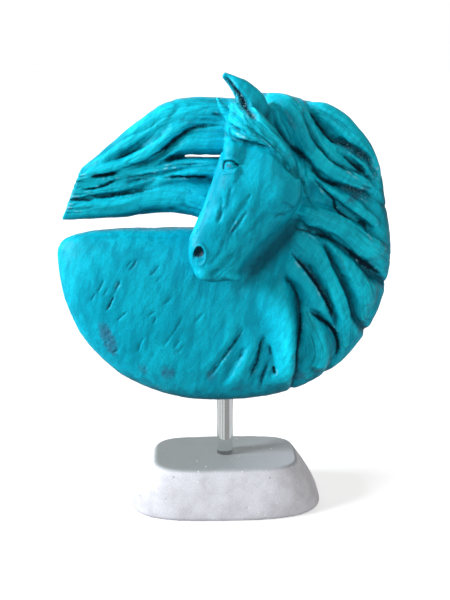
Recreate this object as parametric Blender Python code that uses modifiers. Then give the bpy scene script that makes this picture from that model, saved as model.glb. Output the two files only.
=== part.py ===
"""Horse sculpture: a flat round figure of a horse looking back, held on a clear rod in a cast plinth.

Metres, +Z up. The horse faces -Y, the origin is the middle of the plinth's underside.
"""

import math

import bpy
import bmesh
import numpy as np
from mathutils import Matrix, Vector
from mathutils.bvhtree import BVHTree

# Driving sizes of the whole work
HORSE_WIDTH = 0.304
ROD_DIAMETER = 0.015
ROD_SHOWING = 0.055
HORSE_SOCKET_DEPTH = 0.045
PLINTH_SOCKET_DEPTH = 0.032
ROD_FIT = 0.0003

# Driving sizes of the plinth
PLINTH_LENGTH = 0.182
PLINTH_DEPTH = 0.106
PLINTH_HEIGHT = 0.046
PLINTH_TOP_LENGTH = 0.133
PLINTH_TOP_DEPTH = 0.076
PLINTH_FOOT_ROUNDING = 0.005
PLINTH_FOOT_POWER = 3.1
PLINTH_TOP_POWER = 4.1
PLINTH_SWELL = 1.3

# The horse is carved in its own unit, one millimetre at this size, so that its pose and carving are
# shares of its width. Its own x runs right, z up from the middle of the disc, and y away from the front.
DISC_HALF_WIDTH = 152.0
UNIT = HORSE_WIDTH / (2 * DISC_HALF_WIDTH)
DISC_BELOW = 149.0
DISC_ABOVE = 134.0
DISC_HALF_DEPTH = 29.0

# How square the rounds of the disc are, where 2 is an ellipse: its underside, its top, its edge in section,
# its dome from left to right and where that meets the edge, and the left end of the back
UNDER_POWER = 2.25
OVER_POWER = 2.75
EDGE_POWER = 2.4
DOME_POWER = 3.2
DOME_EDGE_POWER = 2.2
BACK_POWER = 6.0
BACK_EDGE_POWER = 3.0

# The parts of the disc: rounding of its edges, the cut edge of the back, and the neck behind the head
UNDER_ROUNDING = 95.0
OVER_ROUNDING = 55.0
BACK_TOP = 15.0
BACK_ROUNDING = 12.0
POLL_DROP = 5.0
POLL_SLOPE = (10.0, 34.0)
MANE_START = -2.0
MANE_BLEND = 6.0
SHOULDER_NARROWING = 0.045
SHOULDER_RISE = (-10.0, 40.0)
NECK_FULL = 60.0
NECK_THINNING = 0.45
NECK_RISE = (5.0, 45.0)

# Grain and count of the carved surface, how far the tool keeps to straight in, how near it must come to a
# point to reach it, how many rounds of blurring its reach and its direction get, and a distance well outside
CLAY_GRAIN = 2.2
CLAY_SMOOTHING = 3
TOOL_STRAIGHTNESS = 0.7
TOOL_SLACK = 3.0
EDGE_BLUR = 3
DIRECTION_BLUR = 6
HORSE_FACES = 8200
FAR = 300.0

# Where the disc sits
HORSE_MIDDLE = PLINTH_HEIGHT + ROD_SHOWING + DISC_BELOW * UNIT

PARTS = bpy.data.collections.new("horse_sculpture")
CUTTERS = bpy.data.collections.new("cutters")


def clear_scene():
    for item in list(bpy.data.objects):
        bpy.data.objects.remove(item, do_unlink=True)
    for collection in (PARTS, CUTTERS):
        bpy.context.scene.collection.children.link(collection)
    CUTTERS.hide_render = True


def material(name, colour, roughness, transmission=0.0):
    made = bpy.data.materials.new(name)
    made.use_nodes = True
    shader = made.node_tree.nodes["Principled BSDF"]
    shader.inputs["Base Color"].default_value = (*colour, 1.0)
    shader.inputs["Roughness"].default_value = roughness
    shader.inputs["Transmission Weight"].default_value = transmission
    return made


def rounded(value, power):
    """The height of a unit superellipse at this distance from its middle."""
    return max(0.0, 1.0 - abs(value) ** power) ** (1.0 / power)


def eased(value, start, end):
    """0 before start, 1 after end, and a smooth step between."""
    share = np.clip((value - start) / (end - start), 0.0, 1.0)
    return share * share * (3.0 - 2.0 * share)


def smooth_line(points, steps=6):
    """A Catmull-Rom line through the points, with so many steps to a span."""
    points = np.array(points, float)
    ends = np.vstack([2 * points[0] - points[1], points, 2 * points[-1] - points[-2]])
    line = []
    for i in range(len(points) - 1):
        before, start, end, after = ends[i : i + 4]
        for step in range(steps):
            t = step / steps
            line.append(
                start
                + 0.5 * t * (end - before)
                + t * t * (before - 2.5 * start + 2 * end - 0.5 * after)
                + t * t * t * (1.5 * start - 1.5 * end + 0.5 * after - 0.5 * before)
            )
    line.append(points[-1])
    return np.array(line)


def along(values, count):
    """The values of a few stations spread evenly over a line, read at each of its points."""
    values = np.atleast_1d(np.array(values, float))
    return np.interp(np.linspace(0, 1, count), np.linspace(0, 1, len(values)), values)


def loft(rings):
    """A closed mesh skinned over rings with as many points each, in the horse's unit."""
    shape = bmesh.new()
    rows = [[shape.verts.new(point) for point in ring] for ring in rings]
    for row, following in zip(rows, rows[1:]):
        for i in range(len(row)):
            j = (i + 1) % len(row)
            shape.faces.new((row[i], row[j], following[j], following[i]))
    shape.faces.new(rows[0][::-1])
    shape.faces.new(rows[-1])
    bmesh.ops.recalc_face_normals(shape, faces=shape.faces)
    mesh = bpy.data.meshes.new("loft")
    shape.to_mesh(mesh)
    shape.free()
    return mesh


def strand(path, half_width, half_depth, y, sides=16):
    """A lock of hair: oval rings across a smooth line drawn on the (x, z) plane, y deep at its middle."""
    line = smooth_line(path)
    count = len(line)
    half_width, half_depth, y = (along(v, count) for v in (half_width, half_depth, y))
    heading = np.gradient(line, axis=0)
    heading /= np.linalg.norm(heading, axis=1)[:, None]
    turns = np.linspace(0, 2 * math.pi, sides, endpoint=False)
    rings = []
    for i in range(count):
        across = np.array([-heading[i][1], heading[i][0]])
        side = half_width[i] * np.cos(turns)
        rings.append(
            [
                (line[i][0] + across[0] * s, y[i] + half_depth[i] * math.sin(a), line[i][1] + across[1] * s)
                for s, a in zip(side, turns)
            ]
        )
    return loft(rings)


def lump(middle, radii, lean=0.0):
    """An egg of clay pressed on: lean turns it about y, in degrees, so that its top goes to +x."""
    shape = bmesh.new()
    bmesh.ops.create_uvsphere(shape, u_segments=20, v_segments=12, radius=1.0)
    turn = math.radians(lean)
    for vert in shape.verts:
        x, y, z = (vert.co[i] * radii[i] for i in range(3))
        vert.co = Vector(
            (
                middle[0] + x * math.cos(turn) + z * math.sin(turn),
                middle[1] + y,
                middle[2] + z * math.cos(turn) - x * math.sin(turn),
            )
        )
    mesh = bpy.data.meshes.new("lump")
    shape.to_mesh(mesh)
    shape.free()
    return mesh


def disc_bottom(x):
    return -DISC_BELOW * rounded(x / DISC_HALF_WIDTH, UNDER_POWER)


def disc_top(x):
    """The cut edge of the back on the left, then the round of the mane from behind the head on."""
    share = abs(x) / DISC_HALF_WIDTH
    left_end = max(0.0, 1.0 - share**BACK_POWER) ** (1 / BACK_EDGE_POWER)
    back = (BACK_TOP + BACK_ROUNDING) * left_end - BACK_ROUNDING
    mane = DISC_ABOVE * rounded(share, OVER_POWER)
    poll = mane - POLL_DROP * (1 - float(eased(x, *POLL_SLOPE)))
    rise = float(eased(x, MANE_START - MANE_BLEND, MANE_START + MANE_BLEND))
    return back + (poll - back) * rise


def disc_depth(x, z):
    """Half the depth of the disc at a place: a flat dome that rounds off towards each edge."""
    dome = max(0.0, 1 - abs(x / DISC_HALF_WIDTH) ** DOME_POWER) ** (1 / DOME_EDGE_POWER)
    under = rounded(1 - min((z - disc_bottom(x)) / UNDER_ROUNDING, 1.0), EDGE_POWER)
    over = rounded(1 - min((disc_top(x) - z) / OVER_ROUNDING, 1.0), EDGE_POWER)
    return DISC_HALF_DEPTH * dome * under * over


def neck_back(x, z):
    """The share of its depth that the back of the neck keeps as it thins down to the swept locks."""
    above_back = float(eased(z, *NECK_RISE))
    return 1 - NECK_THINNING * above_back * (1 - float(eased(x, MANE_START, NECK_FULL)))


def shoulder(x, z):
    """The mane stands in a little from the round of the chest below it."""
    return x * (1 - SHOULDER_NARROWING * float(eased(z, *SHOULDER_RISE))) if x > 0 else x


def disc():
    """Body, chest and neck: upright slices across the disc."""
    rings = []
    for turn in np.linspace(-math.pi / 2, math.pi / 2, 73)[1:-1]:
        x = DISC_HALF_WIDTH * math.sin(turn)
        low, high = disc_bottom(x), disc_top(x)
        ring = []
        for a in np.linspace(0, 2 * math.pi, 64, endpoint=False):
            z = (low + high) / 2 + (high - low) / 2 * math.cos(a)
            depth = disc_depth(x, z)
            ring.append((shoulder(x, z), depth * neck_back(x, z) if math.sin(a) > 0 else -depth, z))
        rings.append(ring)
    return loft(rings)


# Rings of the head from poll to chin: the point on the face, the point on the jaw, both (x, z), then half
# the breadth there and the depth of the middle.
HEAD = [
    ((4, 127), (28, 122), 12, -36),
    ((-2, 113), (42, 104), 20, -39),
    ((-3, 100), (53, 86), 25, -42),
    ((-6, 87), (61, 69), 28, -44),
    ((-11, 74), (64, 55), 28, -45),
    ((-15, 61), (63, 43), 27, -45),
    ((-19, 48), (55, 31), 24, -45),
    ((-24, 35), (44, 20), 21, -45),
    ((-29, 22), (33, 11), 18.5, -45),
    ((-32.5, 9), (24, 3), 18, -45),
    ((-33, -2), (17, -7), 18.5, -45),
    ((-30, -11), (12, -16), 17, -45),
    ((-24, -19), (4, -22), 12, -45),
    ((-17, -24), (-8, -24.5), 5, -45),
]
HEAD_TURN = math.radians(12)
HEAD_TAPER = 0.18
HEAD_POWER = 2.35


def head():
    """A long head in profile, its forehead turned a little to the front and narrower than its jaw."""
    rings = []
    for face, jaw, half, middle in HEAD:
        face, jaw = np.array(face, float), np.array(jaw, float)
        centre, reach = (face + jaw) / 2, (jaw - face) / 2
        length = np.linalg.norm(reach)
        ring = []
        for a in np.linspace(0, 2 * math.pi, 32, endpoint=False):
            c, s = math.cos(a), math.sin(a)
            to_jaw = math.copysign(abs(c) ** (2 / HEAD_POWER), c)
            y = half * math.copysign(abs(s) ** (2 / HEAD_POWER), s) * (1 + HEAD_TAPER * to_jaw)
            x, z = centre + reach * to_jaw
            ring.append((x, middle + y + length * math.sin(HEAD_TURN) * to_jaw, z))
        rings.append(ring)
    return loft(rings)


def head_details():
    """The bones and soft parts that stand out from the head."""
    return [
        lump((-1, -60, 84), (9, 9, 14), -10),
        lump((36, -58, 58), (25, 15, 25), 0),
        strand([(6, 68), (-4, 46), (-15, 22)], [5, 5, 4], [5, 6, 5], [-65, -62, -58]),
        strand([(-5, 86), (-17, 48), (-29, 12)], [5, 5, 5], [6, 6, 6], [-54, -54, -52]),
        lump((-21, -55, 5), (11, 9, 14), -12),
        lump((-19, -50, -13), (11, 13, 9), 30),
        lump((0, -49, -15), (13, 12, 7), 20),
    ]


# Locks at the upper left, swept back from behind the head and cut off on a slant: centre line, half width,
# half depth, depth of the middle
SWEPT_LOCKS = [
    ([(16, 116), (-20, 117), (-40, 115), (-58, 109), (-80, 95), (-106, 76), (-140, 51)],
     [12, 13, 13, 11, 9.5, 7.5, 5], [15, 15, 14, 13, 12, 11, 9], 0),
    ([(12, 106), (-20, 106), (-38, 103), (-54, 94), (-68, 83), (-82, 76), (-106, 68), (-140, 57)],
     [8, 8, 10, 12, 11, 9, 7, 5], [13, 13, 15, 15, 14, 13, 12, 10], -2),
    ([(16, 93.5), (-16, 94.5), (-32, 92.5), (-44, 87), (-58, 78), (-80, 69), (-110, 62), (-142, 55)],
     [10.5, 11.2, 10.8, 10, 8, 7, 6, 6], [15, 15, 15, 14, 12, 11, 10, 9], -1),
    ([(10, 73.5), (-20, 73.5), (-42, 71.5), (-62, 67), (-90, 60), (-144, 51)],
     [5, 5.2, 6.4, 7, 7, 7], [12, 13, 14, 13, 12, 10], 0),
    ([(12, 66), (-18, 66), (-40, 64), (-66, 58), (-100, 50.5), (-148, 44)],
     [8, 8, 8, 8, 8, 8], [13, 14, 14, 13, 12, 10], 0),
    ([(16, 44), (-16, 45), (-42, 46), (-66, 46), (-100, 38.5), (-152, 33.5)],
     [17, 16.5, 15.5, 14.5, 12, 10], [14, 15, 15, 14, 13, 11], 0),
]
# A place on the flat end of the swept locks, and the way it faces
SWEPT_END = ((-136.5, 45), (-0.925, 0.38))

# Locks of the mane and chest that lie on the disc: centre line, half width, height above the disc
FRONT_LOCKS = [
    ([(29, 122), (38, 104), (51, 86), (62, 69), (69, 50)], [12, 11, 9, 7, 5], [24, 21, 14, 8, 4]),
    ([(34, 127), (49, 122), (59, 110), (68, 94), (82, 78), (100, 65), (118, 56), (133, 46)],
     [7, 11, 13, 13, 12, 12, 10, 7], [15, 16, 14, 12, 11, 10, 8, 3]),
    ([(64, 122), (71, 112), (80, 99), (90, 87), (103, 77), (118, 68)],
     [4, 6, 6, 6, 5, 3], [5, 7, 6, 5, 4, 2]),
    ([(66, 120), (82, 117), (97, 108), (109, 96), (120, 84), (129, 68), (135, 52)],
     [5, 9, 10, 10, 9, 7, 5], [5, 9, 10, 9, 7, 5, 2]),
    ([(96, 90), (109, 80), (122, 68), (133, 52)], [3, 4, 4, 3], [1, 3, 3, 1]),
    ([(66, 74), (86, 54), (104, 41), (121, 29), (140, 12)], [7, 8, 8, 8, 6], [4, 9, 9, 8, 3]),
    ([(56, 36), (78, 29), (97, 21), (115, 8), (131, -4), (145, -14)],
     [10, 13, 13, 13, 13, 10], [6, 9, 10, 9, 8, 3]),
    ([(80, 18), (97, 3), (112, -18), (124, -40), (131, -64)], [8, 12, 13, 13, 9], [1, 5, 6, 6, 2]),
    ([(60, 18), (78, -1), (91, -22), (101, -46), (108, -70), (110, -92)],
     [10, 12, 12, 11, 10, 7], [-2, 3, 5, 5, 4, 2]),
    ([(71, -56), (80, -78), (84, -98), (77, -122)], [6, 13, 14, 9], [-1, 4, 6, 4]),
]
LOCK_HALF_DEPTH = 10
LOCK_SINKS = 0.8
LOCK_END = 0.14

# Plainer locks on the back, the same way round
BACK_LOCKS = [
    ([(20, 120), (48, 114), (68, 96), (98, 68), (131, 46)], [12, 15, 15, 14, 8], [3, 6, 6, 5, 2]),
    ([(66, 116), (95, 104), (118, 82), (131, 54)], [7, 10, 9, 5], [3, 5, 4, 2]),
    ([(40, 80), (72, 58), (105, 36), (136, 10)], [12, 14, 14, 9], [3, 5, 5, 2]),
    ([(50, 20), (90, -2), (118, -36), (132, -66)], [12, 15, 15, 9], [3, 5, 5, 2]),
    ([(46, -14), (70, -44), (88, -80), (84, -118)], [10, 14, 14, 9], [3, 5, 5, 3]),
    ([(26, -40), (40, -74), (40, -108), (34, -136)], [9, 12, 12, 8], [2, 4, 5, 3]),
]

# The forelock, thrown over the brow: centre line, half width, height above the head
FORELOCK = [
    ([(6, 123), (18, 115), (33, 101), (46, 86), (57, 68)], [6, 9, 8, 6, 3], [6, 7, 6, 5, 3]),
    ([(3, 114), (13, 108), (25, 101), (38, 90), (50, 75)], [5.5, 6, 5.5, 4, 2], [7, 8, 7, 5, 3]),
    ([(3, 105), (12, 101), (22, 98), (33, 94), (44, 85), (52, 75)],
     [5, 4.5, 4, 3.5, 3, 2], [7, 6, 5, 5, 4, 3]),
]
FORELOCK_HALF_DEPTH = 6

# The near ear and the far one, from root to tip: centre line, half width, half depth, depth of the middle
EARS = [
    ([(25, 116), (20, 128), (13, 137), (5, 145), (-4, 151)],
     [12, 12, 9.5, 6, 1.2], [10, 9, 7, 4.5, 1.5], [-40, -43, -44, -43, -42]),
    ([(5, 112), (-2, 120), (-8, 130)], [5, 3.6, 1], [5, 4, 1.5], [-22, -22, -22]),
]

# Grooves cut with a tool, on the swept locks: line, reach to each side, depth
SWEPT_GROOVES = [
    ([(-12, 129), (-56, 113), (-95, 89), (-112, 78)], 6, 1.5),
    ([(-46, 107), (-62, 96), (-80, 85), (-106, 75)], 7, 3.5),
    ([(2, 105), (-24, 106), (-42, 94), (-64, 75), (-92, 69)], 8, 5),
    ([(-36, 81), (-48, 78), (-66, 69)], 5, 3),
    ([(-12, 71), (-34, 70), (-62, 63), (-96, 57), (-128, 54)], 5, 2.5),
    ([(-12, 62), (-34, 61.5), (-56, 62)], 5, 4),
    ([(-56, 60), (-80, 50), (-104, 46), (-134, 43)], 5, 2.5),
    ([(-90, 66), (-106, 64), (-120, 62.5)], 4, 3),
]

# Grooves of the mane, chest and forelock, the deep clefts first
MANE_GROOVES = [
    ([(38, 124), (42, 106), (52, 95), (68, 77), (82, 62), (100, 54), (126, 45), (150, 30)], 7, 5),
    ([(62, 130), (68, 112), (78, 91), (95, 76), (116, 67), (138, 50)], 6, 5),
    ([(66, 134), (78, 110), (90, 97), (108, 88), (124, 76), (134, 53)], 7, 7),
    ([(94, 87), (108, 77), (124, 64)], 5, 4),
    ([(70, 126), (96, 110), (114, 98)], 5, 1.5),
    ([(70, 68), (88, 48), (110, 30), (150, -4)], 7, 5),
    ([(56, 24), (84, 12), (110, -6), (134, -27), (165, -52)], 9, 9),
    ([(84, 10), (98, -18), (112, -46), (121, -70), (142, -96)], 9, 8),
    ([(57, -2), (74, -19), (89, -42), (98, -64), (101, -76)], 8, 8),
    ([(49, -20), (62, -38), (65, -64), (65, -100), (64, -122), (60, -152)], 8, 7),
    ([(73, -54), (88, -65), (101, -84), (104, -104)], 7, 6),
    ([(104, -84), (101, -104), (90, -130)], 5, 3),
    ([(17, -70), (4, -89), (-8, -104), (-18, -122)], 5, 3.5),
    ([(20, -87), (8, -104), (-4, -128)], 4.5, 4),
    ([(34, -78), (29, -98), (20, -118)], 5, 4.5),
    ([(39, -86), (43, -106), (42, -122)], 5, 4),
    ([(41, -100), (35, -114), (31, -132)], 4.5, 3.5),
]
HEAD_GROOVES = [
    ([(-16, -17), (-3, -7), (7, 6)], 4, 2.6),
    ([(6, 118), (20, 107), (36, 94), (50, 79)], 4, 3),
    ([(0, 110), (11, 104), (24, 98), (38, 88)], 4, 3),
    ([(2, 99), (16, 94.5), (32, 91), (44, 81), (54, 69)], 4, 3),
    ([(17, 55), (10, 40), (0, 28)], 4, 1.5),
    ([(5, 56), (-2, 43), (-9, 32)], 4, 1.5),
    ([(-2, 149), (5, 139), (14, 127), (24, 113)], 5, 5),
    ([(12, 98), (13, 84), (16, 66)], 10, 3.5),
]
BACK_GROOVES = [
    ([(40, 124), (60, 92), (100, 54), (150, 28)], 9, 4),
    ([(66, 134), (84, 104), (122, 78), (136, 52)], 8, 4),
    ([(50, 40), (92, 14), (135, -23), (168, -44)], 10, 7),
    ([(60, -2), (98, -30), (121, -70), (142, -96)], 10, 6),
    ([(36, -30), (60, -64), (66, -110), (60, -152)], 10, 5),
    ([(-12, 105), (-46, 88), (-96, 66)], 9, 3),
    ([(-12, 60), (-60, 58), (-130, 46)], 8, 3),
]

# The broad hollow between jaw and chest: line, reach, depth
HOLLOWS = [
    ([(10, -40), (34, -10), (52, 10), (68, 34)], 20, 5),
]

# Places of the chest that swell without an edge: line, reach, height
SWELLS = [
    ([(34, -22), (44, -46), (49, -76), (51, -106), (50, -134)], 28, 7),
    ([(46, -4), (64, -20), (78, -42), (88, -62)], 13, 5),
    ([(30, -70), (22, -94), (12, -116), (4, -138)], 14, 3),
    ([(10, -66), (-2, -90), (-14, -118)], 12, 2),
]

# Where the head begins: how far forward, and the depth and the x past which mane grooves leave it alone
HEAD_STANDS_OUT = (30.0, 40.0)
HEAD_TOP = (-60.0, -50.0)
HEAD_SIDE = (34.0, 44.0)

# Nostril: middle, radii, depth and lean in degrees. Eye: middle, radii and lean in degrees
NOSTRIL = ((-22, 5), (4.5, 7.5), 5.0, -10)
EYE = ((2, 80), (8.0, 4.6), 10)


def join(meshes, name):
    shape = bmesh.new()
    for mesh in meshes:
        shape.from_mesh(mesh)
        bpy.data.meshes.remove(mesh)
    joined = bpy.data.meshes.new(name)
    shape.to_mesh(joined)
    shape.free()
    return joined


def fused(mesh, grain, smoothing):
    """One skin over everything in the mesh, as clay is worked together."""
    clay = bpy.data.objects.new("clay", mesh)
    CUTTERS.objects.link(clay)
    remesh = clay.modifiers.new("remesh", "REMESH")
    remesh.mode = "VOXEL"
    remesh.voxel_size = grain
    smooth = clay.modifiers.new("smooth", "SMOOTH")
    smooth.factor = 0.5
    smooth.iterations = smoothing
    made = bpy.data.meshes.new_from_object(clay.evaluated_get(bpy.context.evaluated_depsgraph_get()))
    bpy.data.objects.remove(clay, do_unlink=True)
    return made


def tree_of(mesh):
    corners = [tuple(face.vertices) for face in mesh.polygons]
    return BVHTree.FromPolygons([vert.co for vert in mesh.vertices], corners)


def depth_at(tree, side, x, z):
    """The y where a straight tool from this side, -1 front or 1 back, first meets the mesh."""
    hit = tree.ray_cast(Vector((x, side * FAR, z)), Vector((0, -side, 0)))[0]
    if hit is None:
        hit = tree.find_nearest(Vector((x, 0, z)))[0]
    return hit.y


def laid_on(mesh, locks, side, half_depth):
    """Locks whose crests stand so far above what they lie on, and whose ends sink into it."""
    tree = tree_of(mesh)
    made = []
    for path, width, above in locks:
        line = smooth_line(path, 2)
        share = np.linspace(0, 1, len(line))
        sunk = LOCK_SINKS * half_depth * (1 - eased(np.minimum(share, 1 - share), 0.0, LOCK_END))
        above = along(above, len(line)) - sunk
        middles = [depth_at(tree, side, x, z) + side * (h - half_depth) for (x, z), h in zip(line, above)]
        made.append(strand(path, width, half_depth, middles))
    return made


def cut_off(mesh, place, outward):
    """The mesh cut flat by an upright plane, and closed there."""
    shape = bmesh.new()
    shape.from_mesh(mesh)
    whole = [*shape.verts, *shape.edges, *shape.faces]
    middle, facing = ((x, 0, z) for x, z in (place, outward))
    bmesh.ops.bisect_plane(shape, geom=whole, plane_co=middle, plane_no=facing, clear_outer=True)
    bmesh.ops.holes_fill(shape, edges=[edge for edge in shape.edges if edge.is_boundary])
    shape.to_mesh(mesh)
    shape.free()
    return mesh


def points_of(mesh):
    points = np.empty(len(mesh.vertices) * 3)
    mesh.vertices.foreach_get("co", points)
    return points.reshape(-1, 3)


def normals_of(mesh):
    normals = np.empty(len(mesh.vertices) * 3)
    mesh.vertex_normals.foreach_get("vector", normals)
    return normals.reshape(-1, 3)


def blurred(mesh, values, times):
    """Values at a mesh's points, averaged with their neighbours so many times."""
    edges = np.empty(len(mesh.edges) * 2, int)
    mesh.edges.foreach_get("vertices", edges)
    share = 1 + np.bincount(edges, minlength=len(values))
    start, end = edges.reshape(-1, 2).T
    for _ in range(times):
        around = np.bincount(start, values[end], len(values)) + np.bincount(end, values[start], len(values))
        values = (values + around) / share
    return values


def reached_from(mesh, points, side):
    """Whether a straight tool from this side meets each point first, 0 or 1, blurred between."""
    tree = tree_of(mesh)
    reach = np.array([float(abs(depth_at(tree, side, x, z) - y) < TOOL_SLACK) for x, y, z in points])
    return blurred(mesh, reach, EDGE_BLUR)


def distance_to(points, path):
    """How far each (x, z) point lies from a smooth line, and its share of the way along."""
    line = smooth_line(path, 5)
    best = np.full(len(points), 1e9)
    share = np.zeros(len(points))
    for i in range(len(line) - 1):
        start, run = line[i], line[i + 1] - line[i]
        t = np.clip(((points - start) @ run) / (run @ run), 0, 1)
        gap = np.linalg.norm(points - start - t[:, None] * run, axis=1)
        nearer = gap < best
        best[nearer] = gap[nearer]
        share[nearer] = ((i + t) / (len(line) - 1))[nearer]
    return best, share


def groove_depth(points, path, reach, depth, sharp=1.7, ends=0.22):
    """A leaf-shaped cut, deepest on its line, that rises to nothing at its reach and at its pointed ends."""
    gap, share = distance_to(points, path)
    fade = np.sqrt(np.minimum(np.minimum(share, 1 - share) / ends, 1.0))
    return depth * fade * np.clip(1 - gap / (reach * (0.3 + 0.7 * fade)), 0, 1) ** sharp


def swell_height(points, path, reach, height):
    """A rounded swelling along a line, with no edge anywhere."""
    gap, share = distance_to(points, path)
    fade = eased(np.minimum(share, 1 - share), 0.0, 0.35)
    return height * fade * (1 - eased(gap, 0, reach))


def carve(mesh):
    points = points_of(mesh)
    normals = normals_of(mesh)
    flat = points[:, [0, 2]]
    facing = eased(-normals[:, 1], -0.25, 0.25)
    inward = -np.column_stack([blurred(mesh, part, DIRECTION_BLUR) for part in normals.T])
    inward[:, 1] += TOOL_STRAIGHTNESS * (2 * facing - 1)
    inward /= np.linalg.norm(inward, axis=1)[:, None]
    front = reached_from(mesh, points, -1) * facing
    back = reached_from(mesh, points, 1) * (1 - facing)
    on_head = eased(-points[:, 1], *HEAD_STANDS_OUT)
    off_head = np.maximum(eased(points[:, 1], *HEAD_TOP), eased(flat[:, 0], *HEAD_SIDE))
    cut = np.zeros(len(points))

    def press(grooves, where, **form):
        for path, reach, depth in grooves:
            np.maximum(cut, where * groove_depth(flat, path, reach, depth, **form), out=cut)

    press(SWEPT_GROOVES, front * (1 - on_head))
    press(MANE_GROOVES, front * off_head)
    press(HEAD_GROOVES, front * on_head)
    press(HOLLOWS, front * (1 - on_head), sharp=1.0)
    press(BACK_GROOVES, back)
    points += inward * blurred(mesh, cut, 1)[:, None]
    for swell in SWELLS:
        points[:, 1] -= front * (1 - on_head) * swell_height(flat, *swell)
    points[:, 1] += front * on_head * (nostril_depth(flat, *NOSTRIL) + eye_depth(flat, *EYE))
    mesh.vertices.foreach_set("co", points.ravel())
    mesh.update()


def turned(flat, middle, lean):
    """Places measured from a middle, along axes leaned by so many degrees."""
    turn = math.radians(lean)
    x, z = (flat - np.array(middle)).T
    return x * math.cos(turn) + z * math.sin(turn), z * math.cos(turn) - x * math.sin(turn)


def nostril_depth(flat, middle, radii, depth, lean):
    """An oval hole with a raised rim."""
    x, z = turned(flat, middle, lean)
    r = np.hypot(x / radii[0], z / radii[1])
    return depth * np.clip(1.15 - r, 0, 1) ** 0.6 - 1.0 * np.exp(-(((r - 1.4) / 0.3) ** 2))


def eye_depth(flat, middle, radii, lean):
    """An almond between two lids, with the ball standing in it."""
    x, z = turned(flat, middle, lean)
    lid = radii[1] * np.clip(1 - (x / radii[0]) ** 2, 0, 1)
    gap = np.abs(z) - lid
    line = np.exp(-((gap / 0.9) ** 2)) * (np.abs(x) < radii[0] + 1)
    rim = np.exp(-(((gap - 2.0) / 1.2) ** 2)) * np.clip(1.3 - np.abs(x) / radii[0], 0, 1) * (gap > 0)
    return 1.6 * line - 1.2 * rim


def horse():
    body, skull = disc(), head()
    pieces = [body, skull, *head_details()]
    pieces += [cut_off(strand(*lock), *SWEPT_END) for lock in SWEPT_LOCKS]
    pieces += [strand(*ear) for ear in EARS]
    pieces += laid_on(body, FRONT_LOCKS, -1, LOCK_HALF_DEPTH)
    pieces += laid_on(body, BACK_LOCKS, 1, LOCK_HALF_DEPTH)
    pieces += laid_on(skull, FORELOCK, -1, FORELOCK_HALF_DEPTH)
    clay = fused(join(pieces, "clay"), CLAY_GRAIN, CLAY_SMOOTHING)
    carve(clay)
    clay.transform(Matrix.Translation((0, 0, HORSE_MIDDLE)) @ Matrix.Scale(UNIT, 4))
    clay.name = "horse"
    clay.shade_smooth()
    made = bpy.data.objects.new("horse", clay)
    PARTS.objects.link(made)
    clay.materials.append(material("turquoise_patina", (0.0, 0.35, 0.42), 0.5))
    triangles = sum(len(face.vertices) - 2 for face in clay.polygons)
    thin = made.modifiers.new("decimate", "DECIMATE")
    thin.ratio = HORSE_FACES / triangles
    return made


def cylinder(name, radius, low, high, collection, sides=32):
    bpy.ops.mesh.primitive_cylinder_add(
        vertices=sides, radius=radius, depth=high - low, location=(0, 0, (low + high) / 2)
    )
    made = bpy.context.object
    made.name = made.data.name = name
    for owner in list(made.users_collection):
        owner.objects.unlink(made)
    collection.objects.link(made)
    return made


def bore(piece, low, high):
    """The hole that the rod sits in."""
    cutter = cylinder(piece.name + "_bore", ROD_DIAMETER / 2 + ROD_FIT, low, high, CUTTERS)
    cutter.display_type = "WIRE"
    cutter.hide_render = True
    cut = piece.modifiers.new("rod bore", "BOOLEAN")
    cut.operation = "DIFFERENCE"
    cut.object = cutter


def rod(low, high):
    made = cylinder("rod", ROD_DIAMETER / 2, low, high, PARTS, sides=40)
    made.data.materials.append(material("clear_acrylic", (0.9, 0.92, 0.92), 0.05, 1.0))
    made.data.shade_smooth()
    made.data.set_sharp_from_angle(angle=math.radians(40))
    return made


def plan_ring(half_length, half_depth, power, z, count=56):
    ring = []
    for a in np.linspace(0, 2 * math.pi, count, endpoint=False):
        c, s = math.cos(a), math.sin(a)
        x = half_length * math.copysign(abs(c) ** (2 / power), c)
        y = half_depth * math.copysign(abs(s) ** (2 / power), s)
        ring.append((x, y, z))
    return ring


def plinth():
    """A cast foot: flat under and on top, its sides swelling outwards as they go down."""
    rings = []
    for turn in np.linspace(0, math.pi / 2, 4):
        tuck = PLINTH_FOOT_ROUNDING * (1 - math.sin(turn))
        z = PLINTH_FOOT_ROUNDING * (1 - math.cos(turn))
        rings.append(plan_ring(PLINTH_LENGTH / 2 - tuck, PLINTH_DEPTH / 2 - tuck, PLINTH_FOOT_POWER, z))
    for share in np.linspace(0, 1, 8)[1:]:
        swell = 1 - share**PLINTH_SWELL
        half_length = (PLINTH_TOP_LENGTH + (PLINTH_LENGTH - PLINTH_TOP_LENGTH) * swell) / 2
        half_depth = (PLINTH_TOP_DEPTH + (PLINTH_DEPTH - PLINTH_TOP_DEPTH) * swell) / 2
        z = PLINTH_FOOT_ROUNDING + (PLINTH_HEIGHT - PLINTH_FOOT_ROUNDING) * share
        power = PLINTH_FOOT_POWER + (PLINTH_TOP_POWER - PLINTH_FOOT_POWER) * share
        rings.append(plan_ring(half_length, half_depth, power, z))
    mesh = loft(rings)
    mesh.name = "plinth"
    made = bpy.data.objects.new("plinth", mesh)
    PARTS.objects.link(made)
    mesh.materials.append(material("cast_concrete", (0.72, 0.72, 0.76), 0.85))
    mesh.shade_smooth()
    mesh.set_sharp_from_angle(angle=math.radians(35))
    return made


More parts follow.
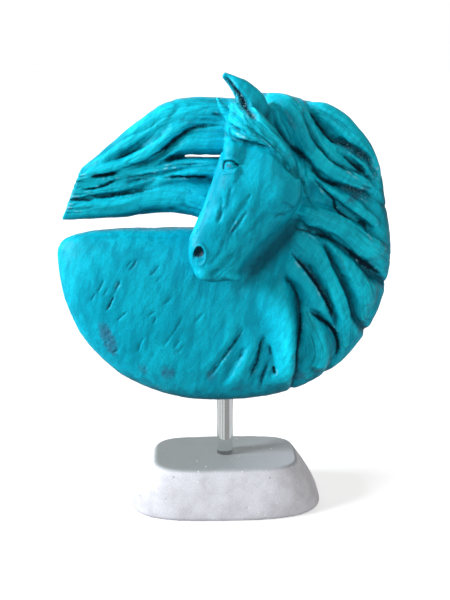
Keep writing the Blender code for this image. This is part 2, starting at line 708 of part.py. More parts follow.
clear_scene()
horse_bottom = PLINTH_HEIGHT + ROD_SHOWING
rod_low = PLINTH_HEIGHT - PLINTH_SOCKET_DEPTH + ROD_FIT
rod_high = horse_bottom + HORSE_SOCKET_DEPTH - ROD_FIT
bore(horse(), horse_bottom - HORSE_SOCKET_DEPTH, horse_bottom + HORSE_SOCKET_DEPTH)
bore(plinth(), PLINTH_HEIGHT - PLINTH_SOCKET_DEPTH, PLINTH_HEIGHT + PLINTH_SOCKET_DEPTH)
rod(rod_low, rod_high)
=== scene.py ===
"""The looks of the horse sculpture, from the plinth up: cast plinth, clear rod, carved and painted horse.

Metres, +Z up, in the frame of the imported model. The horse faces -Y. The floor, light and camera come last.
"""

import math

import bmesh
import bpy
import numpy as np
from mathutils import Matrix, Vector
from mathutils.bvhtree import BVHTree


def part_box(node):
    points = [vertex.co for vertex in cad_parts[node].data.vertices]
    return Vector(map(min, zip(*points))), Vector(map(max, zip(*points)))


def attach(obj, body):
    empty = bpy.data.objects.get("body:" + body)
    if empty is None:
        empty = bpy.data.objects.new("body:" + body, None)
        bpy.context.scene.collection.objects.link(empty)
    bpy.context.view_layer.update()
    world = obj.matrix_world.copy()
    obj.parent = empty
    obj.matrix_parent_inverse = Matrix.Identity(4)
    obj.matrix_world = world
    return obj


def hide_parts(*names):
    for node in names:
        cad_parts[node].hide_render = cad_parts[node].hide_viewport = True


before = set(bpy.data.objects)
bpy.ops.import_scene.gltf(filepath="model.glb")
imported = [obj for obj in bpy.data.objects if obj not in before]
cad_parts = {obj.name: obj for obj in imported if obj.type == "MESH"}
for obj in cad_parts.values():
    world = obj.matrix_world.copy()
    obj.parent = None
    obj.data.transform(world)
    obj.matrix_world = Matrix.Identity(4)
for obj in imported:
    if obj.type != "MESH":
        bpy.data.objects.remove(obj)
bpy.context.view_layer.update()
bpy.ops.object.select_all(action="DESELECT")

# Plinth: a small foot cast in fine grey concrete. Its top was struck off flat, its sides swell outwards to a
# softly rounded foot, and a hole bored in the middle of the top takes the rod. Air left a few pits in it.
MM = 0.001
plinth_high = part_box("plinth")[1]
PLINTH_HALF = (plinth_high.x, plinth_high.y)
PLINTH_TOP_HALF = (66.5 * MM, 38 * MM)
PLINTH_HEIGHT = plinth_high.z
PLINTH_FOOT_ROUNDING = 3.5 * MM
PLINTH_FOOT_POWER = 3.1
PLINTH_TOP_POWER = 4.1
PLINTH_SWELL = 1.3
PLINTH_SIDES = 96
FOOT_LEVELS = 4
SIDE_LEVELS = 7
PLINTH_GRAIN = 1.3 * MM
ROD_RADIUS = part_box("rod")[1].x
ROD_FIT = 0.3 * MM
BORE_SIDES = 64
PLINTH_SOCKET_DEPTH = 32 * MM


def select_only(piece):
    bpy.ops.object.select_all(action="DESELECT")
    piece.select_set(True)
    bpy.context.view_layer.objects.active = piece


def plinth_section(level):
    """Half length, half depth, squareness and height of the plinth at one of its levels."""
    if level < FOOT_LEVELS:
        turn = level / (FOOT_LEVELS - 1) * math.pi / 2
        tuck = PLINTH_FOOT_ROUNDING * (1 - math.sin(turn))
        z = PLINTH_FOOT_ROUNDING * (1 - math.cos(turn))
        return PLINTH_HALF[0] - tuck, PLINTH_HALF[1] - tuck, PLINTH_FOOT_POWER, z
    share = (level - FOOT_LEVELS + 1) / SIDE_LEVELS
    swell = 1 - share**PLINTH_SWELL
    half = [top + (foot - top) * swell for top, foot in zip(PLINTH_TOP_HALF, PLINTH_HALF)]
    power = PLINTH_FOOT_POWER + (PLINTH_TOP_POWER - PLINTH_FOOT_POWER) * share
    return *half, power, PLINTH_FOOT_ROUNDING + (PLINTH_HEIGHT - PLINTH_FOOT_ROUNDING) * share


bpy.ops.mesh.primitive_circle_add(vertices=PLINTH_SIDES, radius=1, fill_type="NGON")
plinth = bpy.context.object
plinth.name = plinth.data.name = "cast_plinth"
bpy.ops.object.mode_set(mode="EDIT")
for level in range(1, FOOT_LEVELS + SIDE_LEVELS):
    bpy.ops.mesh.extrude_region_move(TRANSFORM_OT_translate={"value": (0, 0, 1)})
bpy.ops.mesh.select_all(action="SELECT")
bpy.ops.mesh.normals_make_consistent(inside=False)
bpy.ops.object.mode_set(mode="OBJECT")
for vert in plinth.data.vertices:
    half_length, half_depth, power, z = plinth_section(round(vert.co.z))
    turn = math.atan2(vert.co.y, vert.co.x)
    across, deep = math.cos(turn), math.sin(turn)
    vert.co.x = half_length * math.copysign(abs(across) ** (2 / power), across)
    vert.co.y = half_depth * math.copysign(abs(deep) ** (2 / power), deep)
    vert.co.z = z


def apply_modifier(piece, name, kind, **settings):
    select_only(piece)
    modifier = piece.modifiers.new(name, kind)
    for setting, value in settings.items():
        setattr(modifier, setting, value)
    bpy.ops.object.modifier_apply(modifier=modifier.name)


def points_of(mesh):
    points = np.empty(len(mesh.vertices) * 3)
    mesh.vertices.foreach_get("co", points)
    return points.reshape(-1, 3)


def normals_of(mesh):
    normals = np.empty(len(mesh.vertices) * 3)
    mesh.vertex_normals.foreach_get("vector", normals)
    return normals.reshape(-1, 3)


def put_points(mesh, points):
    mesh.vertices.foreach_set("co", points.ravel())
    mesh.update()


def unevenness(points, size, seed):
    """Smooth noise from -1 to 1 with lumps of this size, the same each time."""
    cells = 32
    lattice = np.random.default_rng(seed).uniform(-1, 1, (cells, cells, cells))
    place = points / size
    cell = np.floor(place).astype(int)
    share = place - cell
    share = share * share * (3 - 2 * share)
    total = np.zeros(len(points))
    for corner in np.ndindex(2, 2, 2):
        weight = np.prod(np.where(corner, share, 1 - share), axis=1)
        total += weight * lattice[tuple(((cell + corner) % cells).T)]
    return total


def bore(piece, low, high):
    """The hole for the rod, cut up or down from a face."""
    bpy.ops.mesh.primitive_cylinder_add(
        vertices=BORE_SIDES, radius=ROD_RADIUS + ROD_FIT, depth=high - low, location=(0, 0, (low + high) / 2)
    )
    cutter = bpy.context.object
    apply_modifier(piece, "rod bore", "BOOLEAN", operation="DIFFERENCE", object=cutter)
    bpy.data.objects.remove(cutter, do_unlink=True)


# Air pits in the front of the plinth: x, z, radius and depth, all in millimetres
PLINTH_PITS = [
    (-26, 28, 0.9, 0.8), (-38, 43, 0.8, 0.5), (19, 13, 1.3, 0.5), (33, 6, 1.4, 0.6), (-4, 9, 1.0, 0.4),
    (52, 30, 0.8, 0.4), (8, 36, 0.7, 0.4), (44, 20, 0.9, 0.4), (-52, 17, 0.8, 0.4),
]

# Waves that the mould left in the skin: height in millimetres, and length
PLINTH_WAVES = [(0.35, 28 * MM), (0.16, 9 * MM), (0.07, 3 * MM)]

apply_modifier(plinth, "cast skin", "REMESH", mode="VOXEL", voxel_size=PLINTH_GRAIN)
apply_modifier(plinth, "rubbed edges", "SMOOTH", factor=0.5, iterations=5)
points = points_of(plinth.data)
outward = normals_of(plinth.data)
wave = np.zeros(len(points))
for seed, (height, length) in enumerate(PLINTH_WAVES, 1):
    wave += height * unevenness(points, length, seed)
for x, z, radius, depth in PLINTH_PITS:
    away = np.hypot(points[:, 0] / MM - x, points[:, 2] / MM - z) / radius
    wave -= depth * np.clip(1.2 - away, 0, 1) * (outward[:, 1] < -0.3)
standing = points[:, 2] < 1 * MM
points += outward * (wave * MM * ~standing)[:, None]
points[:, 2] = np.clip(points[:, 2], 0, PLINTH_HEIGHT)
points[standing & (outward[:, 2] < -0.9), 2] = 0
put_points(plinth.data, points)
bore(plinth, PLINTH_HEIGHT - PLINTH_SOCKET_DEPTH, PLINTH_HEIGHT + PLINTH_SOCKET_DEPTH)
select_only(plinth)
bpy.ops.object.shade_smooth_by_angle(angle=math.radians(50))


def linear(colour):
    """An sRGB hex colour as the linear one that a shader takes."""
    parts = [int(colour[i : i + 2], 16) / 255 for i in (1, 3, 5)]
    return (*(part / 12.92 if part <= 0.04045 else ((part + 0.055) / 1.055) ** 2.4 for part in parts), 1)


def add_node(tree, kind, inputs=None, **settings):
    """Adds a node. Settings are its properties, inputs its sockets, as plain values or as outputs to link."""
    made = tree.nodes.new(kind)
    for name, value in settings.items():
        setattr(made, name, value)
    for name, value in (inputs or {}).items():
        if isinstance(value, bpy.types.NodeSocket):
            tree.links.new(value, made.inputs[name])
        else:
            made.inputs[name].default_value = value
    return made


def new_material(name):
    """A material with its node tree and its shader."""
    made = bpy.data.materials.new(name)
    made.use_nodes = True
    return made, made.node_tree, made.node_tree.nodes["Principled BSDF"]


# Sockets of a Mix node that mixes colours: its share, its two colours, and what it gives
MIX, FIRST, SECOND, MIXED = 0, 6, 7, 2

# Cast concrete: fine cement paste, pale grey with a touch of lilac, clouded where it dried unevenly, with
# sand grains that show as paler and darker specks. It is dry and matt, so light falls off softly over it.
CONCRETE_PALE = "#EAEAF1"
CONCRETE_GREY = "#DCDBE1"
# The top's two greys are darker than the sides: painted shade on the top
CONCRETE_TOP_SHADED = "#A0A5A5"
CONCRETE_TOP_SHADED_PALER = "#BCC0C6"
LIME = "#FFFFFF"
PINHOLE = "#77767C"
SPOT_SPACING = 8 * MM
SAND_GRAIN = 0.9 * MM
CLOUD = 17 * MM

cast_concrete, tree, shader = new_material("cast_concrete")
place = add_node(tree, "ShaderNodeTexCoord").outputs["Object"]
clouds = add_node(
    tree, "ShaderNodeTexNoise", {"Vector": place, "Scale": 1 / CLOUD, "Detail": 5, "Roughness": 0.6}
).outputs["Fac"]
sand = add_node(
    tree, "ShaderNodeTexNoise", {"Vector": place, "Scale": 1 / SAND_GRAIN, "Detail": 2}
).outputs["Fac"]
above_floor = add_node(tree, "ShaderNodeSeparateXYZ", {"Vector": place}).outputs["Z"]
# The top is painted darker than the sides as painted shade, and paler towards its front right
towards_front_right = add_node(
    tree, "ShaderNodeVectorMath", {0: place, 1: (0.8, -0.6, 0)}, operation="DOT_PRODUCT"
).outputs["Value"]
cells = add_node(tree, "ShaderNodeTexVoronoi", {"Vector": place, "Scale": 1 / SPOT_SPACING})
# How far each thing shows: what it follows, where that begins and is full, then least, most and curve
shown = {}
for name, value, start, end, least, most, curve in (
    ("cloudy", clouds, 0.38, 0.66, 0, 1, "SMOOTHSTEP"),
    ("shaded top", above_floor, PLINTH_HEIGHT - 4 * MM, PLINTH_HEIGHT - 0.3 * MM, 0, 1, "SMOOTHSTEP"),
    ("front_right_paler", towards_front_right, -10 * MM, 75 * MM, 0, 1, "LINEAR"),
    ("specks", sand, 0.3, 0.75, 0.82, 1.1, "LINEAR"),
    ("spot", cells.outputs["Distance"], 0.13, 0.07, 0, 1, "LINEAR"),
):
    sockets = {"Value": value, "From Min": start, "From Max": end, "To Min": least, "To Max": most}
    shown[name] = add_node(tree, "ShaderNodeMapRange", sockets, interpolation_type=curve).outputs[0]
# Scattered spots, one to a cell: pale grains of lime, and dark pinholes
chance = add_node(tree, "ShaderNodeSeparateColor", {"Color": cells.outputs["Color"]}).outputs[0]
for name, above in (("lime", 0.55), ("pinhole", 0.8)):
    kept = add_node(tree, "ShaderNodeMath", {0: chance, 1: above}, operation="GREATER_THAN")
    for times in (shown["spot"], 0.75):
        kept = add_node(tree, "ShaderNodeMath", {0: kept.outputs[0], 1: times}, operation="MULTIPLY")
    shown[name] = kept.outputs[0]
shaded_top_colour = add_node(
    tree, "ShaderNodeMix",
    {MIX: shown["front_right_paler"], FIRST: linear(CONCRETE_TOP_SHADED), SECOND: linear(CONCRETE_TOP_SHADED_PALER)},
    data_type="RGBA",
).outputs[MIXED]
colour = linear(CONCRETE_PALE)
for share, over, blend in (
    (shown["cloudy"], linear(CONCRETE_GREY), "MIX"),
    (shown["shaded top"], shaded_top_colour, "MIX"),
    (0.8, shown["specks"], "MULTIPLY"),
    (shown["lime"], linear(LIME), "MIX"),
    (shown["pinhole"], linear(PINHOLE), "MIX"),
):
    sockets = {MIX: share, FIRST: colour, SECOND: over}
    colour = add_node(tree, "ShaderNodeMix", sockets, data_type="RGBA", blend_type=blend).outputs[MIXED]
grit = add_node(tree, "ShaderNodeBump", {"Height": sand, "Strength": 0.35, "Distance": 0.25 * MM})
tree.links.new(colour, shader.inputs["Base Color"])
tree.links.new(grit.outputs["Normal"], shader.inputs["Normal"])
shader.inputs["Roughness"].default_value = 0.88
shader.inputs["Specular IOR Level"].default_value = 0.25

plinth.data.materials.clear()
plinth.data.materials.append(cast_concrete)
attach(plinth, "root")
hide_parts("plinth")

# Rod: a straight length of round clear acrylic stock, cut square, its ends eased and its sides polished. It
# is set into the hole in the plinth and into another in the horse's underside, and carries the horse.
rod_low, rod_high = (corner.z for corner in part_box("rod"))
ROD_SIDES = 96
ROD_EASING = 0.5 * MM
bpy.ops.object.select_all(action="DESELECT")
bpy.ops.mesh.primitive_cylinder_add(
    vertices=ROD_SIDES, radius=ROD_RADIUS, depth=rod_high - rod_low, location=(0, 0, (rod_low + rod_high) / 2)
)
rod = bpy.context.object
rod.name = rod.data.name = "clear_rod"
bpy.ops.object.transform_apply(location=True, rotation=True, scale=True)
shape = bmesh.new()
shape.from_mesh(rod.data)
ends = [edge for edge in shape.edges if len({round(vert.co.z, 5) for vert in edge.verts}) == 1]
bmesh.ops.bevel(shape, geom=ends, offset=ROD_EASING, segments=3, profile=0.5, affect="EDGES")
shape.to_mesh(rod.data)
shape.free()
bpy.ops.object.shade_smooth_by_angle(angle=math.radians(30))

# Cast acrylic: water clear, with the faintest grey in its depth and the gloss of polished plastic. Fine
# drawing lines run along it.
ACRYLIC = "#EEF1F0"
LINE_WIDTH = 1.2 * MM
LINE_LENGTH = 60 * MM

clear_acrylic, tree, shader = new_material("clear_acrylic")
shader.inputs["Base Color"].default_value = linear(ACRYLIC)
shader.inputs["Roughness"].default_value = 0.02
shader.inputs["IOR"].default_value = 1.49
shader.inputs["Transmission Weight"].default_value = 1.0
place = add_node(tree, "ShaderNodeTexCoord").outputs["Object"]
stretched = add_node(
    tree, "ShaderNodeMapping", {"Vector": place, "Scale": (1 / LINE_WIDTH, 1 / LINE_WIDTH, 1 / LINE_LENGTH)}
).outputs["Vector"]
drawn = add_node(tree, "ShaderNodeTexNoise", {"Vector": stretched, "Scale": 1, "Detail": 1}).outputs["Fac"]
lines = add_node(tree, "ShaderNodeBump", {"Height": drawn, "Strength": 0.05, "Distance": 0.05 * MM})
tree.links.new(lines.outputs["Normal"], shader.inputs["Normal"])
rod.data.materials.append(clear_acrylic)
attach(rod, "root")
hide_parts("rod")

# Horse: a flat round figure modelled in one piece in a light cement, with the head laid on it in profile and
# the mane swept round it. Its forms were pressed together, its locks and folds then cut with a knife, and the
# whole was painted. Its own unit is a millimetre: x to the right, y to the back, z up from the disc's middle.
UNIT = 1 * MM
ROD_SHOWING = 55 * MM
HORSE_SOCKET_DEPTH = 45 * MM
DISC_HALF_WIDTH = 152.0
DISC_BELOW = 149.0
DISC_ABOVE = 134.0
DISC_HALF_DEPTH = 29.0
DISC_SLICES = 119
SLICE_POINTS = 112
UNDER_POWER = 2.25
OVER_POWER = 2.75
EDGE_POWER = 2.4
DOME_POWER = 3.2
DOME_EDGE_POWER = 2.2
BACK_POWER = 6.0
BACK_EDGE_POWER = 3.0
UNDER_ROUNDING = 95.0
OVER_ROUNDING = 55.0
BACK_TOP = 15.0
BACK_ROUNDING = 12.0
POLL_DROP = 5.0
POLL_SLOPE = (10.0, 34.0)
MANE_START = -2.0
MANE_BLEND = 6.0
SHOULDER_NARROWING = 0.045
SHOULDER_RISE = (-10.0, 40.0)
NECK_FULL = 60.0
NECK_THINNING = 0.45
NECK_RISE = (5.0, 45.0)
HORSE_MIDDLE = PLINTH_HEIGHT + ROD_SHOWING + DISC_BELOW * UNIT


def rounded(value, power):
    """The height of a unit superellipse at this distance from its middle."""
    return max(0.0, 1.0 - abs(value) ** power) ** (1.0 / power)


def eased(value, start, end):
    """0 before start, 1 after end, and a smooth step between."""
    share = np.clip((value - start) / (end - start), 0.0, 1.0)
    return share * share * (3.0 - 2.0 * share)


def smooth_line(path, steps=6):
    """A Catmull-Rom line through the points, with so many steps to a span."""
    path = np.array(path, float)
    ends = np.vstack([2 * path[0] - path[1], path, 2 * path[-1] - path[-2]])
    line = []
    for i in range(len(path) - 1):
        before, start, end, after = ends[i : i + 4]
        for step in range(steps):
            t = step / steps
            line.append(
                start
                + 0.5 * t * (end - before)
                + t * t * (before - 2.5 * start + 2 * end - 0.5 * after)
                + t * t * t * (1.5 * start - 1.5 * end + 0.5 * after - 0.5 * before)
            )
    line.append(path[-1])
    return np.array(line)


def along(values, count):
    """The values of a few stations spread evenly over a line, read at each of its points."""
    values = np.atleast_1d(np.array(values, float))
    return np.interp(np.linspace(0, 1, count), np.linspace(0, 1, len(values)), values)


def loft(rings):
    """A closed mesh skinned over rings with as many points each."""
    shape = bmesh.new()
    rows = [[shape.verts.new(point) for point in ring] for ring in rings]
    for row, following in zip(rows, rows[1:]):
        for i in range(len(row)):
            j = (i + 1) % len(row)
            shape.faces.new((row[i], row[j], following[j], following[i]))
    shape.faces.new(rows[0][::-1])
    shape.faces.new(rows[-1])
    bmesh.ops.recalc_face_normals(shape, faces=shape.faces)
    mesh = bpy.data.meshes.new("loft")
    shape.to_mesh(mesh)
    shape.free()
    return mesh


def strand(path, half_width, half_depth, y, sides=16):
    """A lock of hair: oval rings across a smooth line drawn on the (x, z) plane, y deep at its middle."""
    line = smooth_line(path)
    count = len(line)
    half_width, half_depth, y = (along(v, count) for v in (half_width, half_depth, y))
    heading = np.gradient(line, axis=0)
    heading /= np.linalg.norm(heading, axis=1)[:, None]
    turns = np.linspace(0, 2 * math.pi, sides, endpoint=False)
    rings = []
    for i in range(count):
        across = np.array([-heading[i][1], heading[i][0]])
        ring = []
        for turn in turns:
            side = half_width[i] * math.cos(turn)
            x, z = line[i] + across * side
            ring.append((x, y[i] + half_depth[i] * math.sin(turn), z))
        rings.append(ring)
    return loft(rings)


def lump(middle, radii, lean=0.0):
    """An egg of clay pressed on: lean turns it about y, in degrees, so that its top goes to +x."""
    shape = bmesh.new()
    bmesh.ops.create_uvsphere(shape, u_segments=32, v_segments=20, radius=1.0)
    turn = math.radians(lean)
    for vert in shape.verts:
        x, y, z = (vert.co[i] * radii[i] for i in range(3))
        right = x * math.cos(turn) + z * math.sin(turn)
        up = z * math.cos(turn) - x * math.sin(turn)
        vert.co = Vector(middle) + Vector((right, y, up))
    mesh = bpy.data.meshes.new("lump")
    shape.to_mesh(mesh)
    shape.free()
    return mesh


def disc_bottom(x):
    return -DISC_BELOW * rounded(x / DISC_HALF_WIDTH, UNDER_POWER)


def disc_top(x):
    """The cut edge of the back on the left, then the round of the mane from behind the head on."""
    share = abs(x) / DISC_HALF_WIDTH
    left_end = max(0.0, 1.0 - share**BACK_POWER) ** (1 / BACK_EDGE_POWER)
    back = (BACK_TOP + BACK_ROUNDING) * left_end - BACK_ROUNDING
    mane = DISC_ABOVE * rounded(share, OVER_POWER)
    poll = mane - POLL_DROP * (1 - float(eased(x, *POLL_SLOPE)))
    rise = float(eased(x, MANE_START - MANE_BLEND, MANE_START + MANE_BLEND))
    return back + (poll - back) * rise


def disc_depth(x, z):
    """Half the depth of the disc at a place: a flat dome that rounds off towards each edge."""
    dome = max(0.0, 1 - abs(x / DISC_HALF_WIDTH) ** DOME_POWER) ** (1 / DOME_EDGE_POWER)
    under = rounded(1 - min((z - disc_bottom(x)) / UNDER_ROUNDING, 1.0), EDGE_POWER)
    over = rounded(1 - min((disc_top(x) - z) / OVER_ROUNDING, 1.0), EDGE_POWER)
    return DISC_HALF_DEPTH * dome * under * over


def neck_back(x, z):
    """The share of its depth that the back of the neck keeps as it thins down to the swept locks."""
    above_back = float(eased(z, *NECK_RISE))
    return 1 - NECK_THINNING * above_back * (1 - float(eased(x, MANE_START, NECK_FULL)))


def shoulder(x, z):
    """The mane stands in a little from the round of the chest below it."""
    return x * (1 - SHOULDER_NARROWING * float(eased(z, *SHOULDER_RISE))) if x > 0 else x


def disc():
    """Body, chest and neck: upright slices across the disc."""
    rings = []
    for turn in np.linspace(-math.pi / 2, math.pi / 2, DISC_SLICES + 2)[1:-1]:
        x = DISC_HALF_WIDTH * math.sin(turn)
        low, high = disc_bottom(x), disc_top(x)
        ring = []
        for a in np.linspace(0, 2 * math.pi, SLICE_POINTS, endpoint=False):
            z = (low + high) / 2 + (high - low) / 2 * math.cos(a)
            depth = disc_depth(x, z)
            ring.append((shoulder(x, z), depth * neck_back(x, z) if math.sin(a) > 0 else -depth, z))
        rings.append(ring)
    return loft(rings)


# Rings of the head from poll to chin: the point on the face, the point on the jaw, both (x, z), then half
# the breadth there and the depth of the middle
HEAD = [
    ((4, 127), (28, 122), 12, -36),
    ((1, 113), (42, 104), 20, -39),
    ((1.5, 100), (53, 86), 25, -42),
    ((-1.5, 87), (61, 69), 28, -44),
    ((-7.5, 74), (64, 55), 28, -45),
    ((-12, 61), (63, 43), 27, -45),
    ((-16, 48), (55, 31), 24, -45),
    ((-22, 35), (44, 20), 21, -45),
    ((-28, 22), (33, 11), 18.5, -45),
    ((-32.5, 9), (24, 3), 18, -45),
    ((-33, -2), (17, -7), 18.5, -45),
    ((-30, -11), (12, -16), 17, -45),
    ((-24, -19), (4, -22), 12, -45),
    ((-17, -24), (-8, -24.5), 5, -45),
]
HEAD_TURN = math.radians(12)
HEAD_TAPER = 0.18
HEAD_POWER = 2.35
HEAD_RING_POINTS = 64


def head():
    """A long head in profile, its forehead turned a little to the front and narrower than its jaw."""
    rings = []
    for row in smooth_line([(*face, *jaw, half, middle) for face, jaw, half, middle in HEAD], 3):
        face, jaw, half, middle = row[0:2], row[2:4], row[4], row[5]
        centre, reach = (face + jaw) / 2, (jaw - face) / 2
        length = np.linalg.norm(reach)
        ring = []
        for a in np.linspace(0, 2 * math.pi, HEAD_RING_POINTS, endpoint=False):
            c, s = math.cos(a), math.sin(a)
            to_jaw = math.copysign(abs(c) ** (2 / HEAD_POWER), c)
            y = half * math.copysign(abs(s) ** (2 / HEAD_POWER), s) * (1 + HEAD_TAPER * to_jaw)
            x, z = centre + reach * to_jaw
            ring.append((x, middle + y + length * math.sin(HEAD_TURN) * to_jaw, z))
        rings.append(ring)
    return loft(rings)


def head_details():
    """The bones and soft parts that stand out from the head."""
    return [
        lump((4, -60, 85), (8, 8.5, 13), -10),
        lump((36, -58, 58), (25, 15, 25), 0),
        strand([(6, 68), (-4, 46), (-15, 22)], [5, 5, 4], [5, 6, 5], [-65, -62, -58]),
        strand([(-0.5, 86), (-13.5, 48), (-28, 12)], [5, 5, 5], [6, 6, 6], [-54, -54, -52]),
        lump((-21, -55, 5), (11, 9, 14), -12),
        lump((-19, -50, -13), (11, 13, 9), 30),
        lump((0, -49, -15), (13, 12, 7), 20),
    ]


# Locks at the upper left, swept back from behind the head and cut off on a slant: centre line, half width,
# half depth, depth of the middle
SWEPT_LOCKS = [
    ([(16, 116), (-20, 117), (-40, 115), (-58, 109), (-80, 95), (-106, 76), (-140, 51)],
     [12, 13, 13, 11, 9.5, 7.5, 5], [15, 15, 14, 13, 12, 11, 9], 0),
    ([(12, 106), (-20, 106), (-38, 103), (-54, 94), (-68, 83), (-82, 76), (-106, 68), (-140, 57)],
     [8, 8, 10, 12, 11, 9, 7, 5], [13, 13, 15, 15, 14, 13, 12, 10], -2),
    ([(16, 92), (-16, 92.6), (-32, 91.8), (-44, 87), (-58, 78), (-80, 69), (-110, 62), (-142, 55)],
     [12.2, 12.8, 11.8, 10, 8, 7, 6, 6], [15, 15, 15, 14, 12, 11, 10, 9], -1),
    ([(10, 72.8), (-20, 72.8), (-42, 71.5), (-62, 67), (-90, 60), (-144, 51)],
     [4.7, 4.9, 6.4, 7, 7, 7], [12, 13, 14, 13, 12, 10], 0),
    ([(12, 66), (-18, 66), (-40, 64), (-66, 58), (-100, 50.5), (-148, 44)],
     [8, 8, 8, 8, 8, 8], [13, 14, 14, 13, 12, 10], 0),
    ([(16, 37), (-12, 39.2), (-27, 42.6), (-46, 44.6), (-70, 42.8), (-100, 36.6), (-152, 32.4)],
     [20, 19, 17, 15.8, 15, 12.5, 10], [14, 15, 15, 14, 14, 13, 11], 0),
]
# A place on the flat end of the swept locks, and the way it faces
SWEPT_END = ((-136.5, 45), (-0.925, 0.38))

# Locks of the mane and chest that lie on the disc: centre line, half width, height above the disc
FRONT_LOCKS = [
    ([(29, 122), (38, 104), (51, 86), (62, 69), (69, 50)], [12, 11, 9, 7, 5], [24, 21, 14, 8, 4]),
    ([(34, 127), (49, 122), (59, 110), (68, 94), (82, 78), (100, 65), (118, 56), (133, 46)],
     [7, 11, 13, 13, 12, 12, 10, 7], [15, 16, 14, 12, 11, 10, 8, 3]),
    ([(64, 122), (71, 112), (80, 99), (90, 87), (103, 77), (118, 68)],
     [4, 6, 6, 6, 5, 3], [5, 7, 6, 5, 4, 2]),
    ([(66, 120), (82, 117), (97, 108), (109, 96), (120, 84), (129, 68), (135, 52)],
     [5, 9, 10, 10, 9, 7, 5], [5, 9, 10, 9, 7, 5, 2]),
    ([(96, 90), (109, 80), (122, 68), (133, 52)], [3, 4, 4, 3], [1, 3, 3, 1]),
    ([(66, 74), (86, 54), (104, 41), (121, 29), (140, 12)], [7, 8, 8, 8, 6], [4, 9, 9, 8, 3]),
    ([(56, 36), (78, 29), (97, 21), (115, 8), (131, -4), (145, -14)],
     [10, 13, 13, 13, 13, 10], [6, 9, 10, 9, 8, 3]),
    ([(80, 18), (97, 3), (112, -18), (124, -40), (131, -64)], [8, 12, 13, 13, 9], [1, 5, 6, 6, 2]),
    ([(60, 18), (78, -1), (91, -22), (101, -46), (108, -70), (110, -92)],
     [10, 12, 12, 11, 10, 7], [-2, 3, 5, 5, 4, 2]),
    ([(71, -56), (80, -78), (84, -98), (77, -122)], [6, 13, 14, 9], [-1, 4, 6, 4]),
]
LOCK_HALF_DEPTH = 10
LOCK_SINKS = 0.8
LOCK_END = 0.14

# Plainer locks on the back, the same way round
BACK_LOCKS = [
    ([(20, 120), (48, 114), (68, 96), (98, 68), (131, 46)], [12, 15, 15, 14, 8], [3, 6, 6, 5, 2]),
    ([(66, 116), (95, 104), (118, 82), (131, 54)], [7, 10, 9, 5], [3, 5, 4, 2]),
    ([(40, 80), (72, 58), (105, 36), (136, 10)], [12, 14, 14, 9], [3, 5, 5, 2]),
    ([(50, 20), (90, -2), (118, -36), (132, -66)], [12, 15, 15, 9], [3, 5, 5, 2]),
    ([(46, -14), (70, -44), (88, -80), (84, -118)], [10, 14, 14, 9], [3, 5, 5, 3]),
    ([(26, -40), (40, -74), (40, -108), (34, -136)], [9, 12, 12, 8], [2, 4, 5, 3]),
]

# The forelock, thrown over the brow: centre line, half width, height above the head
FORELOCK = [
    ([(8, 123), (18, 115), (33, 101), (46, 86), (57, 68)], [6, 9, 8, 6, 3], [6, 7, 6, 5, 3]),
    ([(6, 114), (14, 108), (25, 101), (38, 90), (50, 75)], [5.5, 6, 5.5, 4, 2], [7, 8, 7, 5, 3]),
    ([(6, 104.5), (13, 101), (22, 98), (33, 94), (44, 85), (52, 75)],
     [5, 4.5, 4, 3.5, 3, 2], [7, 6, 5, 5, 4, 3]),
]
FORELOCK_HALF_DEPTH = 6

# The near ear and the far one, from root to tip: centre line, half width, half depth, depth of the middle
EARS = [
    ([(32, 102), (25, 115), (20, 127), (12.5, 136.5), (4.5, 143.5), (-3.4, 149.2)],
     [9, 12, 12, 8.8, 5.2, 2.4], [8, 10, 9, 7, 4.8, 2.4], [-34, -40, -43, -44, -43, -42]),
    ([(5, 112), (-2, 120), (-8, 130)], [5, 3.6, 1], [5, 4, 1.5], [-22, -22, -22]),
]


def join(meshes):
    shape = bmesh.new()
    for mesh in meshes:
        shape.from_mesh(mesh)
        bpy.data.meshes.remove(mesh)
    joined = bpy.data.meshes.new("carved_horse")
    shape.to_mesh(joined)
    shape.free()
    return joined


def tree_of(mesh):
    corners = [tuple(face.vertices) for face in mesh.polygons]
    return BVHTree.FromPolygons([vert.co for vert in mesh.vertices], corners)


FAR = 300.0


def depth_at(tree, side, x, z):
    """The y where a straight tool from this side, -1 front or 1 back, first meets the mesh."""
    hit = tree.ray_cast(Vector((x, side * FAR, z)), Vector((0, -side, 0)))[0]
    if hit is None:
        hit = tree.find_nearest(Vector((x, 0, z)))[0]
    return hit.y


def laid_on(mesh, locks, side, half_depth):
    """Locks whose crests stand so far above what they lie on, and whose ends sink into it."""
    tree = tree_of(mesh)
    made = []
    for path, width, above in locks:
        line = smooth_line(path, 2)
        share = np.linspace(0, 1, len(line))
        sunk = LOCK_SINKS * half_depth * (1 - eased(np.minimum(share, 1 - share), 0.0, LOCK_END))
        above = along(above, len(line)) - sunk
        middles = [depth_at(tree, side, x, z) + side * (h - half_depth) for (x, z), h in zip(line, above)]
        made.append(strand(path, width, half_depth, middles))
    return made


def cut_off(mesh, place, outward):
    """The mesh cut flat by an upright plane, and closed there."""
    shape = bmesh.new()
    shape.from_mesh(mesh)
    whole = [*shape.verts, *shape.edges, *shape.faces]
    middle, facing = ((x, 0, z) for x, z in (place, outward))
    bmesh.ops.bisect_plane(shape, geom=whole, plane_co=middle, plane_no=facing, clear_outer=True)
    bmesh.ops.holes_fill(shape, edges=[edge for edge in shape.edges if edge.is_boundary])
    shape.to_mesh(mesh)
    shape.free()
    return mesh


